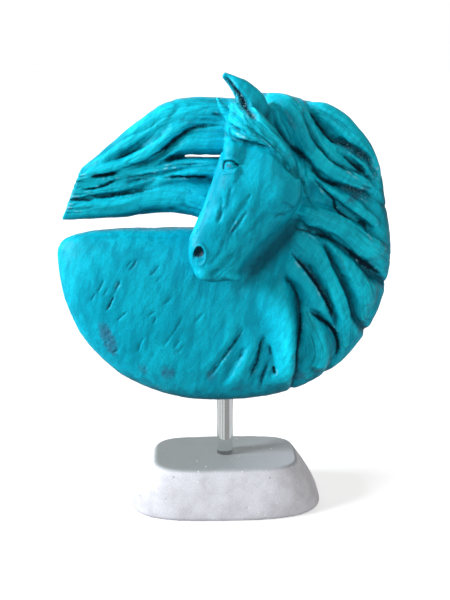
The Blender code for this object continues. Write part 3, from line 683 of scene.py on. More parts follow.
# The forms pressed together: the grain of the clay, in its own unit, sets how fine a cut it can hold
CLAY_GRAIN = 0.95
body, skull = disc(), head()
forms = [body, skull, *head_details()]
forms += [cut_off(strand(*lock), *SWEPT_END) for lock in SWEPT_LOCKS]
forms += [strand(*ear) for ear in EARS]
forms += laid_on(body, FRONT_LOCKS, -1, LOCK_HALF_DEPTH)
forms += laid_on(body, BACK_LOCKS, 1, LOCK_HALF_DEPTH)
forms += laid_on(skull, FORELOCK, -1, FORELOCK_HALF_DEPTH)
horse = bpy.data.objects.new("carved_horse", join(forms))
bpy.context.scene.collection.objects.link(horse)
apply_modifier(horse, "clay", "REMESH", mode="VOXEL", voxel_size=CLAY_GRAIN)
apply_modifier(horse, "worked smooth", "SMOOTH", factor=0.5, iterations=12)

# The back of the neck is rubbed over once more, where it drops to the gap: its place, (x, z), then where the
# rubbing starts and is full on the way back, and where it fades to the sides, and up and down
NECK_END = (-3, 36)
NECK_FROM = (2, 8)
NECK_SIDES = (6, 16)
NECK_REACH = (48, 62)
x, y, z = points_of(horse.data).T
beside = 1 - eased(abs(x - NECK_END[0]), *NECK_SIDES)
rubbed_over = eased(y, *NECK_FROM) * beside * (1 - eased(abs(z - NECK_END[1]), *NECK_REACH))
back_of_neck = horse.vertex_groups.new(name="back of the neck")
for i in np.flatnonzero(rubbed_over > 0.01):
    back_of_neck.add([int(i)], rubbed_over[i], "REPLACE")
apply_modifier(horse, "rubbed over", "SMOOTH", factor=0.5, iterations=60, vertex_group=back_of_neck.name)
horse.vertex_groups.clear()

# Grooves cut with a knife, on the swept locks: line, reach to each side, depth
SWEPT_GROOVES = [
    ([(-12, 129), (-56, 113), (-95, 89), (-112, 78)], 6, 1.5),
    ([(-46, 107), (-62, 96), (-80, 85), (-106, 75)], 7, 3.0),
    ([(2, 105), (-24, 106), (-42, 94), (-64, 75), (-92, 69)], 7, 4.2),
    ([(-36, 81), (-48, 78), (-66, 69)], 5, 2.4),
    ([(-12, 71), (-34, 70), (-62, 63), (-96, 57), (-128, 54)], 5, 2.5),
    ([(-12, 62), (-34, 61.5), (-56, 62)], 4.5, 2.6),
    ([(-56, 60), (-80, 50), (-104, 46), (-134, 43)], 5, 2.5),
    ([(-90, 66), (-106, 64), (-120, 62.5)], 4, 2.4),
]
# Grooves of the mane and chest, of the head, and of the back
MANE_GROOVES = [
    ([(38, 124), (42, 106), (52, 95), (68, 77), (82, 62), (100, 54), (126, 45), (150, 30)], 5.5, 4.2),
    ([(62, 130), (68, 112), (78, 91), (95, 76), (116, 67), (138, 50)], 4.5, 3.8),
    ([(66, 134), (78, 110), (90, 97), (108, 88), (124, 76), (134, 53)], 5, 4.8),
    ([(94, 87), (108, 77), (124, 64)], 4, 2.8),
    ([(70, 126), (96, 110), (114, 98)], 4, 1.2),
    ([(70, 68), (88, 48), (110, 30), (150, -4)], 5.5, 3.6),
    ([(56, 24), (84, 12), (110, -6), (134, -27), (165, -52)], 7.5, 6),
    ([(84, 10), (98, -18), (112, -46), (121, -70), (142, -96)], 7.5, 5.5),
    ([(57, -2), (74, -19), (89, -42), (98, -64), (101, -76)], 6, 4.8),
    ([(49, -20), (62, -38), (65, -64), (65, -100), (64, -122), (60, -152)], 6, 4.4),
    ([(73, -54), (88, -65), (101, -84), (104, -104)], 5.5, 4),
    ([(104, -84), (101, -104), (90, -130)], 4, 2.4),
    ([(17, -70), (4, -89), (-8, -104), (-18, -122)], 5.5, 2.4),
    ([(20, -87), (8, -104), (-4, -128)], 5, 2.6),
    ([(34, -78), (29, -98), (20, -118)], 5.5, 3),
    ([(39, -86), (43, -106), (42, -122)], 5, 2.6),
    ([(41, -100), (35, -114), (31, -132)], 4.5, 2.4),
]
HEAD_GROOVES = [
    ([(-16, -17), (-3, -7), (7, 6)], 4, 2.6),
    ([(6, 118), (20, 107), (36, 94), (50, 79)], 4, 3),
    ([(0, 110), (11, 104), (24, 98), (38, 88)], 4, 3),
    ([(2, 99), (16, 94.5), (32, 91), (44, 81), (54, 69)], 4, 3),
    ([(17, 55), (10, 40), (0, 28)], 4, 1.5),
    ([(5, 56), (-2, 43), (-9, 32)], 4, 1.5),
    ([(-2, 149), (5, 139), (14, 127), (24, 113)], 5, 5),
]
BACK_GROOVES = [
    ([(40, 124), (60, 92), (100, 54), (150, 28)], 9, 4),
    ([(66, 134), (84, 104), (122, 78), (136, 52)], 8, 4),
    ([(50, 40), (92, 14), (135, -23), (168, -44)], 10, 7),
    ([(60, -2), (98, -30), (121, -70), (142, -96)], 10, 6),
    ([(36, -30), (60, -64), (66, -110), (60, -152)], 10, 5),
    ([(-12, 105), (-46, 88), (-96, 66)], 9, 3),
    ([(-12, 60), (-60, 58), (-130, 46)], 8, 3),
]
# The broad hollow between jaw and chest: line, reach, depth
HOLLOWS = [([(10, -40), (34, -10), (52, 10), (68, 34)], 20, 5)]
# Places that swell without an edge, or sink, as beside the eye: a line down the ridge, its reach to the left
# and to the right, and its height
FACE_SWELLS = [([(16, 103), (15.5, 94), (12.5, 84), (10.8, 76.5), (9.5, 68), (7, 58)], 6, 24, -4.2)]
SWELLS = [
    ([(40, -18), (50, -40), (58, -68), (60, -96), (58, -124), (54, -142)], 25, 9, 10.5),
    ([(46, -4), (64, -20), (78, -42), (88, -62)], 13, 13, 5),
    ([(30, -70), (22, -94), (12, -116), (4, -138)], 14, 14, 3),
    ([(10, -66), (-2, -90), (-14, -118)], 12, 12, 2),
    ([(112, 104), (130, 76), (139, 48), (144, 16), (141, -20)], 20, 9, 4.5),
    ([(120, -18), (126, -44), (122, -74), (112, -96)], 16, 9, 3),
    ([(78, -62), (86, -84), (88, -108), (76, -126)], 14, 12, 3),
]

# Broken out with the point of the knife rather than cut: the hollow of the near ear, and clefts of the mane
EAR_HOLLOW = ([(-2, 146.5), (4, 138), (9, 130.5), (14, 123), (19, 117.5), (23.5, 113)], 4.4, 3.0)
TORN_CLEFTS = [
    ([(92, 94), (101.9, 89.4), (118.6, 79.8), (125.6, 75.1), (131, 65.5), (137.4, 54.2)], 4.0, 2.4),
    ([(100, 54.2), (108.2, 51.4), (118.5, 46), (128.8, 39.4)], 4.8, 1.8),
]

# Finer knife cuts over those: the swept locks, the mane and chest, the head, and scratches in the flank
SWEPT_CUTS = [
    ([(-28, 121), (-54.6, 111.6), (-66, 103.5), (-83, 97), (-104, 86)], 1.9, 0.9),
    ([(-48.4, 103.7), (-61.4, 94.1), (-73.5, 87.5), (-87.7, 81), (-104.8, 74.4)], 2.0, 1.1),
    ([(-1.5, 105.9), (-24.8, 103.5), (-35.5, 99.2), (-44.3, 92.9), (-55.1, 84.3), (-79.2, 70.4)], 2.4, 1.7),
    ([(-33.7, 78.6), (-42.3, 77.8), (-54, 75.4)], 2.2, 1.8),
    ([(-13.2, 74.2), (-29.4, 73.2), (-44.5, 71.8), (-55.3, 69.6), (-64.1, 67.4)], 2.6, 1.6),
    ([(-55.4, 66.1), (-72.9, 63), (-88, 60.9), (-96.8, 58.8)], 2.4, 1.4),
    ([(-94, 60), (-110, 53), (-127, 51)], 2.2, 2.2),
    ([(-94, 65.4), (-105.3, 63), (-118, 61.7)], 2.4, 3.2),
    ([(-12, 60), (-24.1, 60), (-36, 61), (-54.4, 61.5)], 1.9, 2.6),
    ([(-53.4, 56.5), (-66.4, 59.8), (-79.5, 58.6), (-90.3, 55.4)], 2.0, 1.0),
    ([(-54, 54), (-79.7, 48.3), (-95.1, 46), (-108.2, 43.9), (-122, 45.6)], 3.0, 1.6),
    ([(-116, 35.4), (-129, 33.4), (-142, 34)], 2.2, 1.4),
    ([(-114, 41.5), (-127.7, 41.9), (-142, 40.9)], 2.2, 1.8),
    ([(-112.5, 74.6), (-120.3, 69.6), (-128, 64)], 1.9, 0.9),
    ([(-124, 58), (-132, 57), (-139, 56)], 1.8, 1.4),
    ([(-122, 47), (-132, 46), (-141, 46)], 1.8, 1.4),
    ([(-119, 63.5), (-128, 62), (-136, 60.5)], 1.6, 1.4),
    ([(-126, 52.6), (-133, 51.8), (-140, 51.4)], 1.6, 1.4),
    ([(-127, 38), (-135, 37.2), (-144, 37)], 1.6, 1.4),
    ([(-124, 30.6), (-132, 30.2), (-141, 30.4)], 1.5, 1.2),
    ([(-32, 51), (-26.5, 45.9), (-20, 44)], 2.2, 0.9),
    ([(-12, 116.5), (-7, 115), (-1, 113.6)], 3.0, 1.4),
    ([(-24, 118), (-14, 121), (-4, 121.5)], 1.8, 0.8),
]
MANE_CUTS = [
    ([(70, 126), (96, 110), (114, 98)], 1.8, 1.0),
    ([(57, 20), (72, 14), (88, 9), (104, 1)], 2.2, 1.6),
    ([(60, 70), (66, 58), (71, 44), (80, 34)], 1.8, 1.2),
    ([(84, 8), (91, -6), (96, -16)], 2.0, 1.4),
    ([(120, 92), (128, 80), (134, 66)], 1.6, 1.0),
    ([(106, 64), (118, 56), (130, 49)], 1.8, 1.2),
    ([(112, 22), (126, 8), (140, -6)], 1.6, 1.0),
    ([(104, 36), (118, 27), (130, 17)], 1.5, 0.8),
    ([(86, -88), (84, -104), (78, -118)], 1.4, 0.6),
    ([(74, -76), (80, -92), (80, -108)], 1.4, 0.6),
    ([(69.5, 121.4), (75.6, 113.5), (84.4, 101.6), (91.4, 94), (101.9, 89.4), (111.8, 84.6)], 2.0, 2.2),
    ([(99.3, 82.5), (106.5, 76.8), (114.7, 70.8), (123.4, 64.2), (133.1, 53.7)], 2.4, 1.6),
    ([(69.8, 99.5), (78.7, 90), (86.6, 80.7), (93.4, 75.1), (103.4, 70.1), (116, 62)], 2.2, 2.2),
    ([(79.6, 116.5), (89.8, 112.9), (98.2, 105.6), (104.9, 102), (115.8, 98.2)], 1.9, 0.9),
    ([(70.9, 70.9), (80, 62.9), (90.7, 57.9), (100, 54)], 2.6, 1.8),
    ([(72, 64), (81.1, 52.8), (89.1, 45), (97.2, 34.4), (107.3, 28.1), (116, 23.3)], 2.4, 2.0),
    ([(116, 23.3), (122, 21), (126, 14), (132.7, 6.5)], 2.0, 1.3),
    ([(38.6, 123.3), (40.5, 112.4), (45.7, 102.5), (53.3, 92.9), (62.5, 84), (70, 73)], 2.0, 1.6),
    ([(52.6, 128.1), (62.4, 119.5), (68.1, 107.3), (71.8, 98.6), (79.1, 90.6), (88.2, 80.7)], 2.2, 1.4),
    ([(47.2, 124.8), (54.5, 113.6), (61.2, 103.8)], 1.6, 0.5),
    ([(44, 117), (49.7, 106), (57.4, 95), (66.7, 86)], 1.6, 0.5),
    ([(56.7, -3), (66, -14), (75.5, -25), (85.5, -41), (92.4, -54), (96.5, -66)], 2.2, 3.2),
    ([(50, -23), (58.5, -33), (64.5, -47), (66.4, -59)], 1.8, 1.2),
    ([(66.4, -55), (66.5, -75), (64.4, -92), (64.2, -104), (65, -120)], 2.2, 2.2),
    ([(73, -56), (82, -63), (94, -72), (101.5, -84), (104, -96), (102.5, -106)], 2.2, 2.6),
    ([(96, -96), (97.5, -108)], 1.8, 1.0),
    ([(102, 3), (117, -9), (129, -18), (142, -29)], 2.4, 2.6),
    ([(92, -12), (104, -31), (111, -48), (116, -62), (121, -76)], 2.0, 1.2),
    ([(15.5, -73), (7, -86), (-1.1, -97.3), (-8, -109), (-15.5, -120)], 1.8, 1.5),
    ([(-4, -103), (-9, -111), (-13, -117)], 2.2, 1.2),
    ([(18.6, -89.3), (8.8, -107.9), (-0.9, -128.1)], 1.8, 1.0),
    ([(33.5, -80), (30.5, -88.5), (28.9, -103.4), (24.5, -113.5), (20, -124)], 2.0, 1.9),
    ([(38.5, -89), (41, -98.5)], 1.9, 1.3),
    ([(38, -107), (34, -119), (32, -132)], 1.8, 1.5),
    ([(43.5, -109), (44.5, -118)], 2.2, 2.6),
    ([(115, -31), (121, -34)], 1.4, 1.2),
    ([(124, -31), (129, -36)], 1.4, 1.0),
]
HEAD_CUTS = [
    ([(1, 147), (7, 136.5), (13, 128.6), (18, 122.6), (25, 115.5)], 2.4, 1.6),
    ([(7, 139.5), (14, 130.5), (19, 124)], 1.6, 0.9),
    ([(14.3, 109.7), (21, 104.7), (28.7, 99.7), (36.5, 94.6), (44.5, 89.4)], 2.2, 1.5),
    ([(0.5, 110.6), (5.3, 106.8), (10.8, 103.1), (17.6, 99.9)], 2.4, 1.6),
    ([(5, 115.5), (13.5, 110.5), (24, 106), (36, 98)], 1.8, 1.0),
    ([(2, 104.5), (9, 100), (17, 96.4), (27, 95.5), (36.6, 89.6)], 1.8, 1.0),
    ([(30, 98), (41, 88), (50, 76), (56, 66)], 1.8, 1.2),
    ([(3, 119), (12, 114), (22, 109)], 1.6, 0.8),
    ([(3.5, 62), (0.7, 54.5), (-0.7, 50)], 2.4, 1.3),
    ([(3.4, 63.3), (8, 66.3)], 1.6, 0.8),
    ([(-5, 53), (-6.5, 39.3), (-8.7, 29.5)], 3.4, 1.6),
    ([(18, 55.5), (14.3, 49.3)], 2.2, 1.0),
    ([(11, 47), (6.7, 37.7), (2.3, 28), (-0.5, 20.3)], 2.4, 1.2),
    ([(15.5, 41), (9.8, 31.7), (5.4, 25.7), (1.7, 19.5)], 2.4, 2.0),
    ([(26, 34), (22.4, 27.6), (15.1, 20), (8.6, 11.5)], 2.4, 1.2),
    ([(-15.1, 47), (-16.6, 42.4)], 1.5, 0.7),
    ([(-24.3, 24), (-25.6, 19.5)], 1.5, 0.7),
    ([(-3, 16), (-5.5, 9)], 1.8, 0.7),
    ([(42, 48), (48, 45.5), (54.5, 40.5)], 1.8, 1.1),
    ([(42, 36.5), (46, 35)], 1.8, 0.9),
    ([(-15, -15.5), (-7.5, -7), (-2, -1), (5, 3.6)], 3.0, 1.1),
    ([(-11, -20.6), (-3, -11.6), (4, -5.6), (9, -0.5)], 1.5, 0.9),
    ([(-17, -7), (-10, 1), (-5, 8)], 2.4, 0.7),
    ([(36, 61.5), (36.8, 58.5)], 1.1, 0.5),
    ([(39, 60), (41, 60.8)], 1.1, 0.5),
    ([(44, 61), (45, 58)], 1.1, 0.5),
    ([(49, 59.5), (51.5, 58)], 1.1, 0.5),
    ([(53, 55), (54, 57.5)], 1.1, 0.4),
]
FLANK_CUTS = [
    ([(-93.2, -27.5), (-98.4, -36.3)], 1.6, 1.5),
    ([(-99.2, -41.5), (-106.8, -55.2)], 1.8, 1.9),
    ([(-107.4, -26.7), (-114, -38.8)], 1.5, 1.1),
    ([(-115.9, -39), (-120.4, -47.5)], 1.5, 1.1),
    ([(-57.8, -13.5), (-68, -24.2)], 1.5, 1.1),
    ([(-77.5, -8.5), (-85.4, -18.4)], 1.5, 1.2),
    ([(-82.5, -9.5), (-87.5, -15.5)], 1.4, 0.8),
    ([(-63, -54.5), (-70.5, -60.5)], 1.5, 1.0),
    ([(-62.3, -60), (-65.8, -67)], 1.5, 1.3),
    ([(-38.6, -59.9), (-46.8, -74.5), (-57, -89)], 1.6, 0.9),
    ([(-72.4, -77.5), (-77.4, -87), (-79.5, -94.5)], 1.5, 0.9),
    ([(-88.4, -56), (-97.5, -64.5)], 1.5, 1.0),
    ([(-97, -92), (-103.1, -97.4)], 1.4, 0.8),
    ([(-46.8, -41.7), (-56, -49.4)], 1.5, 0.8),
    ([(-104, -66), (-110, -72)], 1.0, 0.6),
    ([(-103, -74), (-110, -81)], 1.0, 0.7),
    ([(-103.5, -82), (-109, -88)], 1.0, 0.6),
    ([(-70, -106), (-76, -113)], 1.0, 0.5),
    ([(-46, -110), (-54, -119)], 1.0, 0.5),
    ([(-40.8, -81.4), (-47.6, -91.1)], 1.5, 1.0),
    ([(-37.9, -87.2), (-43.7, -95)], 1.5, 0.9),
    ([(-20.4, -57), (-28.2, -65.5)], 1.5, 0.9),
    ([(-95.5, -33), (-102.5, -44)], 1.4, 0.9),
    ([(-104.5, -34), (-108.5, -41.5)], 1.4, 0.9),
    ([(-57, -23), (-61.5, -29.5)], 1.4, 0.8),
]

# The folds that a cut stays inside, so that cuts of the mane leave the head alone: how far forward the head
# begins, and the depth and the x past which it ends. How straight in the knife goes, how near it must come to
# a point to reach it, and how many rounds of blurring its reach and its direction get.
HEAD_STANDS_OUT = (30.0, 40.0)
HEAD_TOP = (-60.0, -50.0)
HEAD_SIDE = (34.0, 44.0)
KNIFE_STRAIGHTNESS = 0.7
KNIFE_SLACK = 3.0
EDGE_BLUR = 6
DIRECTION_BLUR = 22
# How much of a valley's depth is filled, up to how deep, the x where that begins, and how many rounds of
# blurring give the level it is filled to
LEVEL_BLUR = 60
PRESSED = 0.75
PRESSED_MOST = 2.6
PRESSED_FROM = (26.0, 44.0)
# How far a cut's edge strays in the crumbly cement, and the length of its wobbles: broad grooves, then cuts
RAGGED_GROOVE = (0.9, 4.5)
RAGGED_CUT = (0.55, 2.6)

# Nostril: middle, radii, depth and lean in degrees. Eyeball: middle, radius and how far it stands out.
# Then the edges and folds of the lids, and last the two rims of the near ear: line, reach and depth, which is
# below zero where the line is raised.
NOSTRIL = ((-24.4, 2.4), (4.7, 7.6), 5.5, -4)
EYEBALL = ((1.0, 77.4), 3.8, 0.9)
EYE_AND_EAR_LINES = [
    ([(-4.0, 73.6), (-4.0, 76.6), (-3.0, 79.8), (-0.2, 81.0), (3.6, 80.8), (8.2, 78.0)], 1.05, 1.8),
    ([(8.2, 77.8), (4.6, 75.6), (1.4, 74.6), (-1.2, 73.8), (-4.2, 73.2)], 0.9, 0.7),
    ([(4.4, 78.6), (8.2, 78.1)], 1.3, 1.3),
    ([(9, 75.8), (4, 72.6), (-1.4, 71.4), (-5.6, 70.6)], 1.3, -0.7),
    ([(-4.6, 82.2), (-0.6, 83.2), (4.4, 82.8), (9.6, 79.8)], 1.6, -0.8),
    ([(-0.5, 148), (7.2, 141.5), (13, 134), (18, 127), (23, 120.5)], 1.5, -0.9),
    ([(-4.5, 145), (0.2, 136.5), (5, 128.5), (9.5, 122)], 1.3, -0.7),
]


def blurred(mesh, values, times):
    """Values at a mesh's points, averaged with their neighbours so many times."""
    edges = np.empty(len(mesh.edges) * 2, int)
    mesh.edges.foreach_get("vertices", edges)
    share = 1 + np.bincount(edges, minlength=len(values))
    start, end = edges.reshape(-1, 2).T
    for _ in range(times):
        around = np.bincount(start, values[end], len(values)) + np.bincount(end, values[start], len(values))
        values = (values + around) / share
    return values


def reached_from(mesh, points, side, where):
    """Whether a straight knife from this side meets each point first, 0 or 1, blurred between."""
    tree = tree_of(mesh)
    reach = np.zeros(len(points))
    for i in np.flatnonzero(where):
        x, y, z = points[i]
        reach[i] = abs(depth_at(tree, side, x, z) - y) < KNIFE_SLACK
    return blurred(mesh, reach, EDGE_BLUR)


def distance_to(flat, path, limit):
    """The (x, z) points near a smooth line: which they are, how far to its left, and their share along."""
    line = smooth_line(path, 5)
    near = np.flatnonzero(((flat > line.min(0) - limit) & (flat < line.max(0) + limit)).all(axis=1))
    points = flat[near]
    best = np.full(len(points), 1e9)
    side = np.ones(len(points))
    share = np.zeros(len(points))
    for i in range(len(line) - 1):
        start, run = line[i], line[i + 1] - line[i]
        offset = points - start
        t = np.clip((offset @ run) / (run @ run), 0, 1)
        gap = np.linalg.norm(offset - t[:, None] * run, axis=1)
        nearer = gap < best
        best[nearer] = gap[nearer]
        side[nearer] = np.sign(run[0] * offset[:, 1] - run[1] * offset[:, 0])[nearer]
        share[nearer] = ((i + t) / (len(line) - 1))[nearer]
    return near, best * side, share


def carved(flat, groups, sharp, ends=0.22):
    """How deep leaf-shaped grooves with pointed ends go: groups of grooves, each with where it may cut."""
    record = np.zeros(len(flat))
    for grooves, where in groups:
        for path, reach, depth in grooves:
            near, gap, share = distance_to(flat, path, reach)
            fade = np.sqrt(np.minimum(np.minimum(share, 1 - share) / ends, 1.0))
            wide = reach * (0.3 + 0.7 * fade) + 1e-9
            deep = depth * fade * np.clip(1 - np.abs(gap) / wide, 0, 1) ** sharp
            record[near] = np.maximum(record[near], where[near] * deep)
    return record


def strayed(points, amount, length, seed):
    """The (x, z) of points, shifted about by noise, so that what is cut there gets a ragged edge."""
    shift = [unevenness(points, length, seed), unevenness(points, length, seed + 1)]
    return points[:, [0, 2]] + amount * np.column_stack(shift)


def turned(flat, middle, lean):
    """Places measured from a middle, along axes leaned by so many degrees."""
    turn = math.radians(lean)
    x, z = (flat - np.array(middle)).T
    return x * math.cos(turn) + z * math.sin(turn), z * math.cos(turn) - x * math.sin(turn)


def nostril_depth(flat, middle, radii, depth, lean):
    """A slanting hole, deepest at its top, and the rim round it, raised most on the right."""
    x, z = turned(flat, middle, lean)
    r = np.hypot(x / radii[0], z / radii[1])
    hole = depth * np.clip(1.08 - r, 0, 1) ** 0.5 * (0.2 + 0.8 * eased((z - 0.4 * x) / radii[1], -0.5, 0.5))
    to_right = np.clip(x / radii[0] + 0.4 * z / radii[1], -1, 1)
    rim = np.exp(-(((r - 1.2) / 0.2) ** 2)) * (0.45 + 0.45 * to_right)
    return hole, rim


# The eye and the nostril are cut in finer clay: their middles, (x, z), and how far the fine clay reaches
shape = bmesh.new()
shape.from_mesh(horse.data)
fine_edges = set()
for (x, z), reach in ((EYEBALL[0], 12), (NOSTRIL[0], 13)):
    for face in shape.faces:
        middle = face.calc_center_median()
        if middle.y < -HEAD_STANDS_OUT[1] and math.hypot(middle.x - x, middle.z - z) < reach:
            fine_edges.update(face.edges)
bmesh.ops.subdivide_edges(shape, edges=list(fine_edges), cuts=1, use_grid_fill=True)
shape.to_mesh(horse.data)
shape.free()

# The carving, with a record of how deep each point was cut: front and back are what a straight knife reaches
# from there, and inward is the way that it goes in
clay = horse.data
points = points_of(clay)
normals = normals_of(clay)
facing = eased(-normals[:, 1], -0.25, 0.25)
inward = -np.column_stack([blurred(clay, part, DIRECTION_BLUR) for part in normals.T])
inward[:, 1] += KNIFE_STRAIGHTNESS * (2 * facing - 1)
inward /= np.linalg.norm(inward, axis=1)[:, None]
front = reached_from(clay, points, -1, facing > 0) * facing
back = reached_from(clay, points, 1, facing < 1) * (1 - facing)
on_head = eased(-points[:, 1], *HEAD_STANDS_OUT)
off_head = np.maximum(eased(points[:, 1], *HEAD_TOP), eased(points[:, 0], *HEAD_SIDE))
on_face = front * on_head
on_body = front * (1 - on_head)
on_mane = front * off_head
# Clay pressed into the valleys of the mane leaves its locks broad and flat, with narrow clefts between
level = np.column_stack([blurred(clay, part, LEVEL_BLUR) for part in points.T])
sunk = ((level - points) * normals).sum(axis=1)
pressed = on_body * eased(points[:, 0], *PRESSED_FROM)
points += normals * (PRESSED * pressed * np.clip(sunk, 0, PRESSED_MOST))[:, None]
flat = strayed(points, *RAGGED_GROOVE, seed=11)
groups = ((SWEPT_GROOVES, on_body), (MANE_GROOVES, on_mane), (HEAD_GROOVES, on_face), (BACK_GROOVES, back))
grooves = np.maximum(carved(flat, groups, sharp=1.7), carved(flat, ((HOLLOWS, on_body),), sharp=1.0))
flat = strayed(points, *RAGGED_CUT, seed=21)
ear_hollow = carved(flat, (([EAR_HOLLOW], on_face),), sharp=0.8, ends=0.3)
torn = np.maximum(ear_hollow, carved(flat, ((TORN_CLEFTS, on_mane),), sharp=1.0))
groups = ((SWEPT_CUTS, on_body), (MANE_CUTS, on_mane), (HEAD_CUTS, on_face), (FLANK_CUTS, front))
cuts = np.maximum(carved(flat, groups, sharp=1.3), torn)
flat = points[:, [0, 2]]
lids = np.zeros(len(points))
for path, reach, depth in EYE_AND_EAR_LINES:
    near, gap, share = distance_to(flat, path, 2.5 * reach)
    fade = np.clip(np.minimum(share, 1 - share) / 0.08, 0.4, 1)
    stroke = depth * np.exp(-((gap / (0.75 * reach)) ** 2)) * fade
    lids[near] += on_face[near] * stroke
swelling = np.zeros(len(points))
for swells, where in ((SWELLS, on_body), (FACE_SWELLS, on_face)):
    for path, left, right, height in swells:
        near, gap, share = distance_to(flat, path, max(left, right))
        fade = eased(np.minimum(share, 1 - share), 0.0, 0.35)
        fall = 1 - eased(np.abs(gap) / np.where(gap > 0, right, left), 0, 1)
        swelling[near] += where[near] * height * fade * fall
hole, rim = nostril_depth(flat, *NOSTRIL)
nostril = on_face * hole
middle, radius, ball_height = EYEBALL
ball = ball_height * np.sqrt(np.clip(1 - np.hypot(*(flat - np.array(middle)).T) / radius, 0, 1))
standing_out = on_face * (rim + ball)

# Hair: where each point lies across and along its lock, and how much of a lock is there
hair_across = np.zeros(len(points))
hair_along = np.zeros(len(points))
hair_share = np.full(len(points), 9.0)
combed = np.zeros(len(points))
for locks, where, how_much in (
    (SWEPT_LOCKS, on_head < 0.5, 0.65),
    (FRONT_LOCKS, (facing > 0.5) & (on_head < 0.9), 0.6),
    (FORELOCK, (facing > 0.5) & (on_head > 0.1), 1.0),
    (BACK_LOCKS, facing <= 0.5, 0.5),
):
    for number, lock in enumerate(locks):
        path, widths = lock[0], lock[1]
        near, gap, share = distance_to(flat, path, 1.6 * max(widths))
        width = np.interp(share, np.linspace(0, 1, len(widths)), widths)
        ratio = np.where(where[near], np.abs(gap) / width, 9.0)
        closer = ratio < hair_share[near]
        which = near[closer]
        length = np.linalg.norm(np.diff(smooth_line(path), axis=0), axis=1).sum()
        hair_share[which] = ratio[closer]
        combed[which] = how_much
        hair_across[which] = gap[closer] + 40 * number
        hair_along[which] = share[closer] * length
hair = combed * (1 - eased(hair_share, 1.0, 1.6))


def along_hair(width, length, seed):
    """Noise drawn out along the locks, in lumps so wide and so long."""
    flow = np.column_stack([hair_across / width, hair_along / length, hair_across * 0])
    return unevenness(flow, 1.0, seed)


strands = along_hair(3.3, 34, 31) + 0.7 * along_hair(6.5, 60, 32)
parting, coming_and_going = along_hair(4.6, 48, 33), along_hair(9, 16, 34)
partings = np.clip(1 - np.abs(parting) / 0.2, 0, 1) * eased(coming_and_going, -0.25, 0.3)

# Places where the paint is rubbed thin over its grey undercoat: middle, radii, lean in degrees, amount
RUBBED = [
    ((-106.5, -83), (9, 23), 18, 1.0), ((-75, -112), (7, 9), 20, 0.6), ((-53, -115), (10, 12), 0, 0.7),
    ((-14, -118), (8, 10), 30, 0.6), ((-46, -96), (6, 10), 20, 0.4), ((66, -122), (14, 8), 0, 0.8),
    ((60, -96), (4, 22), 0, 0.5), ((102, -12), (4, 14), 20, 0.6), ((122, -14), (5, 16), 50, 0.6),
    ((53, 112), (4, 16), 30, 0.7), ((114, 47), (16, 5), 30, 0.9), ((128, 10), (5, 12), 30, 0.5),
    ((104, 90), (22, 7), 30, 0.5), ((63, 62), (3, 22), -10, 0.6), ((50, 85), (4, 14), -40, 0.5),
    ((-3, 62), (3, 9), 0, 0.5), ((18, 40), (8, 6), 30, 0.5), ((-30, 108), (20, 5), -20, 0.5),
    ((-62, 70), (20, 4), -20, 0.4), ((-72, 60), (24, 4), -5, 0.5), ((-135, 50), (4, 20), -20, 0.6),
    ((22, -14), (20, 8), 40, 0.5), ((-146, -30), (5, 30), 0, 0.3), ((64, -50), (4, 12), 10, 0.7),
    ((20, -132), (40, 6), 0, 0.5), ((76, 104), (5, 12), 30, 0.3), ((2, 130), (4, 10), 40, 0.4),
    ((0.5, 77.6), (3.2, 2.4), 0, 0.9),
]
# Patches painted dark as painted shade, beside the ear, under the swept locks and over the right of the mane
# and chest, the same way round
SHADE_PATCHES = [
    ((20, 130), (6.5, 17), 40, 3.0), ((34, 112), (5, 12), 20, 3.0), ((82, -95), (12, 26), 0, 1.6),
    ((124, -40), (8, 22), 10, 1.0), ((-13, 114), (13, 8), 0, 1.8), ((126, 86), (9, 34), -32, 2.0),
    ((141, 30), (7, 40), 0, 2.2), ((94, 108), (22, 9), 30, 1.2), ((-80, 31), (50, 5), 5, 1.6),
]
# Painted shadow under the jaw, in its corner with the chest: line, reach, amount
JAW_SHADOW = ([(-6, -34), (20, -15), (40, 1), (57, 15), (70, 34)], 12.5, 2.3)
# Patches painted palest as painted light, where light falls brightest on the locks and the left edge: middle,
# radii, lean in degrees, amount
LIT_PATCHES = [
    ((80, 77), (13, 34), -50, 0.95), ((127, 2), (12, 24), -58, 0.7), ((116, 32), (7, 26), -58, 0.6),
    ((-66, 107), (34, 10), 30, 0.6), ((55, -96), (8, 40), 4, 0.5), ((92, -44), (8, 26), -24, 0.5),
    ((88, 52), (8, 20), -50, 0.5), ((-120, 20), (40, 10), 0, 0.15),
    ((-142, -26), (10, 34), 0, 0.35),
]


def patches(places, edge):
    """How strongly each patch covers the front, one row a patch, fading out towards its edge."""
    rows = []
    for middle, radii, lean, amount in places:
        x, z = turned(flat, middle, lean)
        patch = amount * (1 - eased(np.hypot(x / radii[0], z / radii[1]), 0.3, edge))
        rows.append(patch * facing)
    return np.array(rows)


rubbed = patches(RUBBED, 1.25).max(axis=0)
painted_light = patches(LIT_PATCHES, 1.3).max(axis=0)
jaw_shadow = carved(flat, (([JAW_SHADOW], on_body),), sharp=1.0, ends=0.45)
wash_and_shade = patches(SHADE_PATCHES, 1.25).sum(axis=0) + jaw_shadow

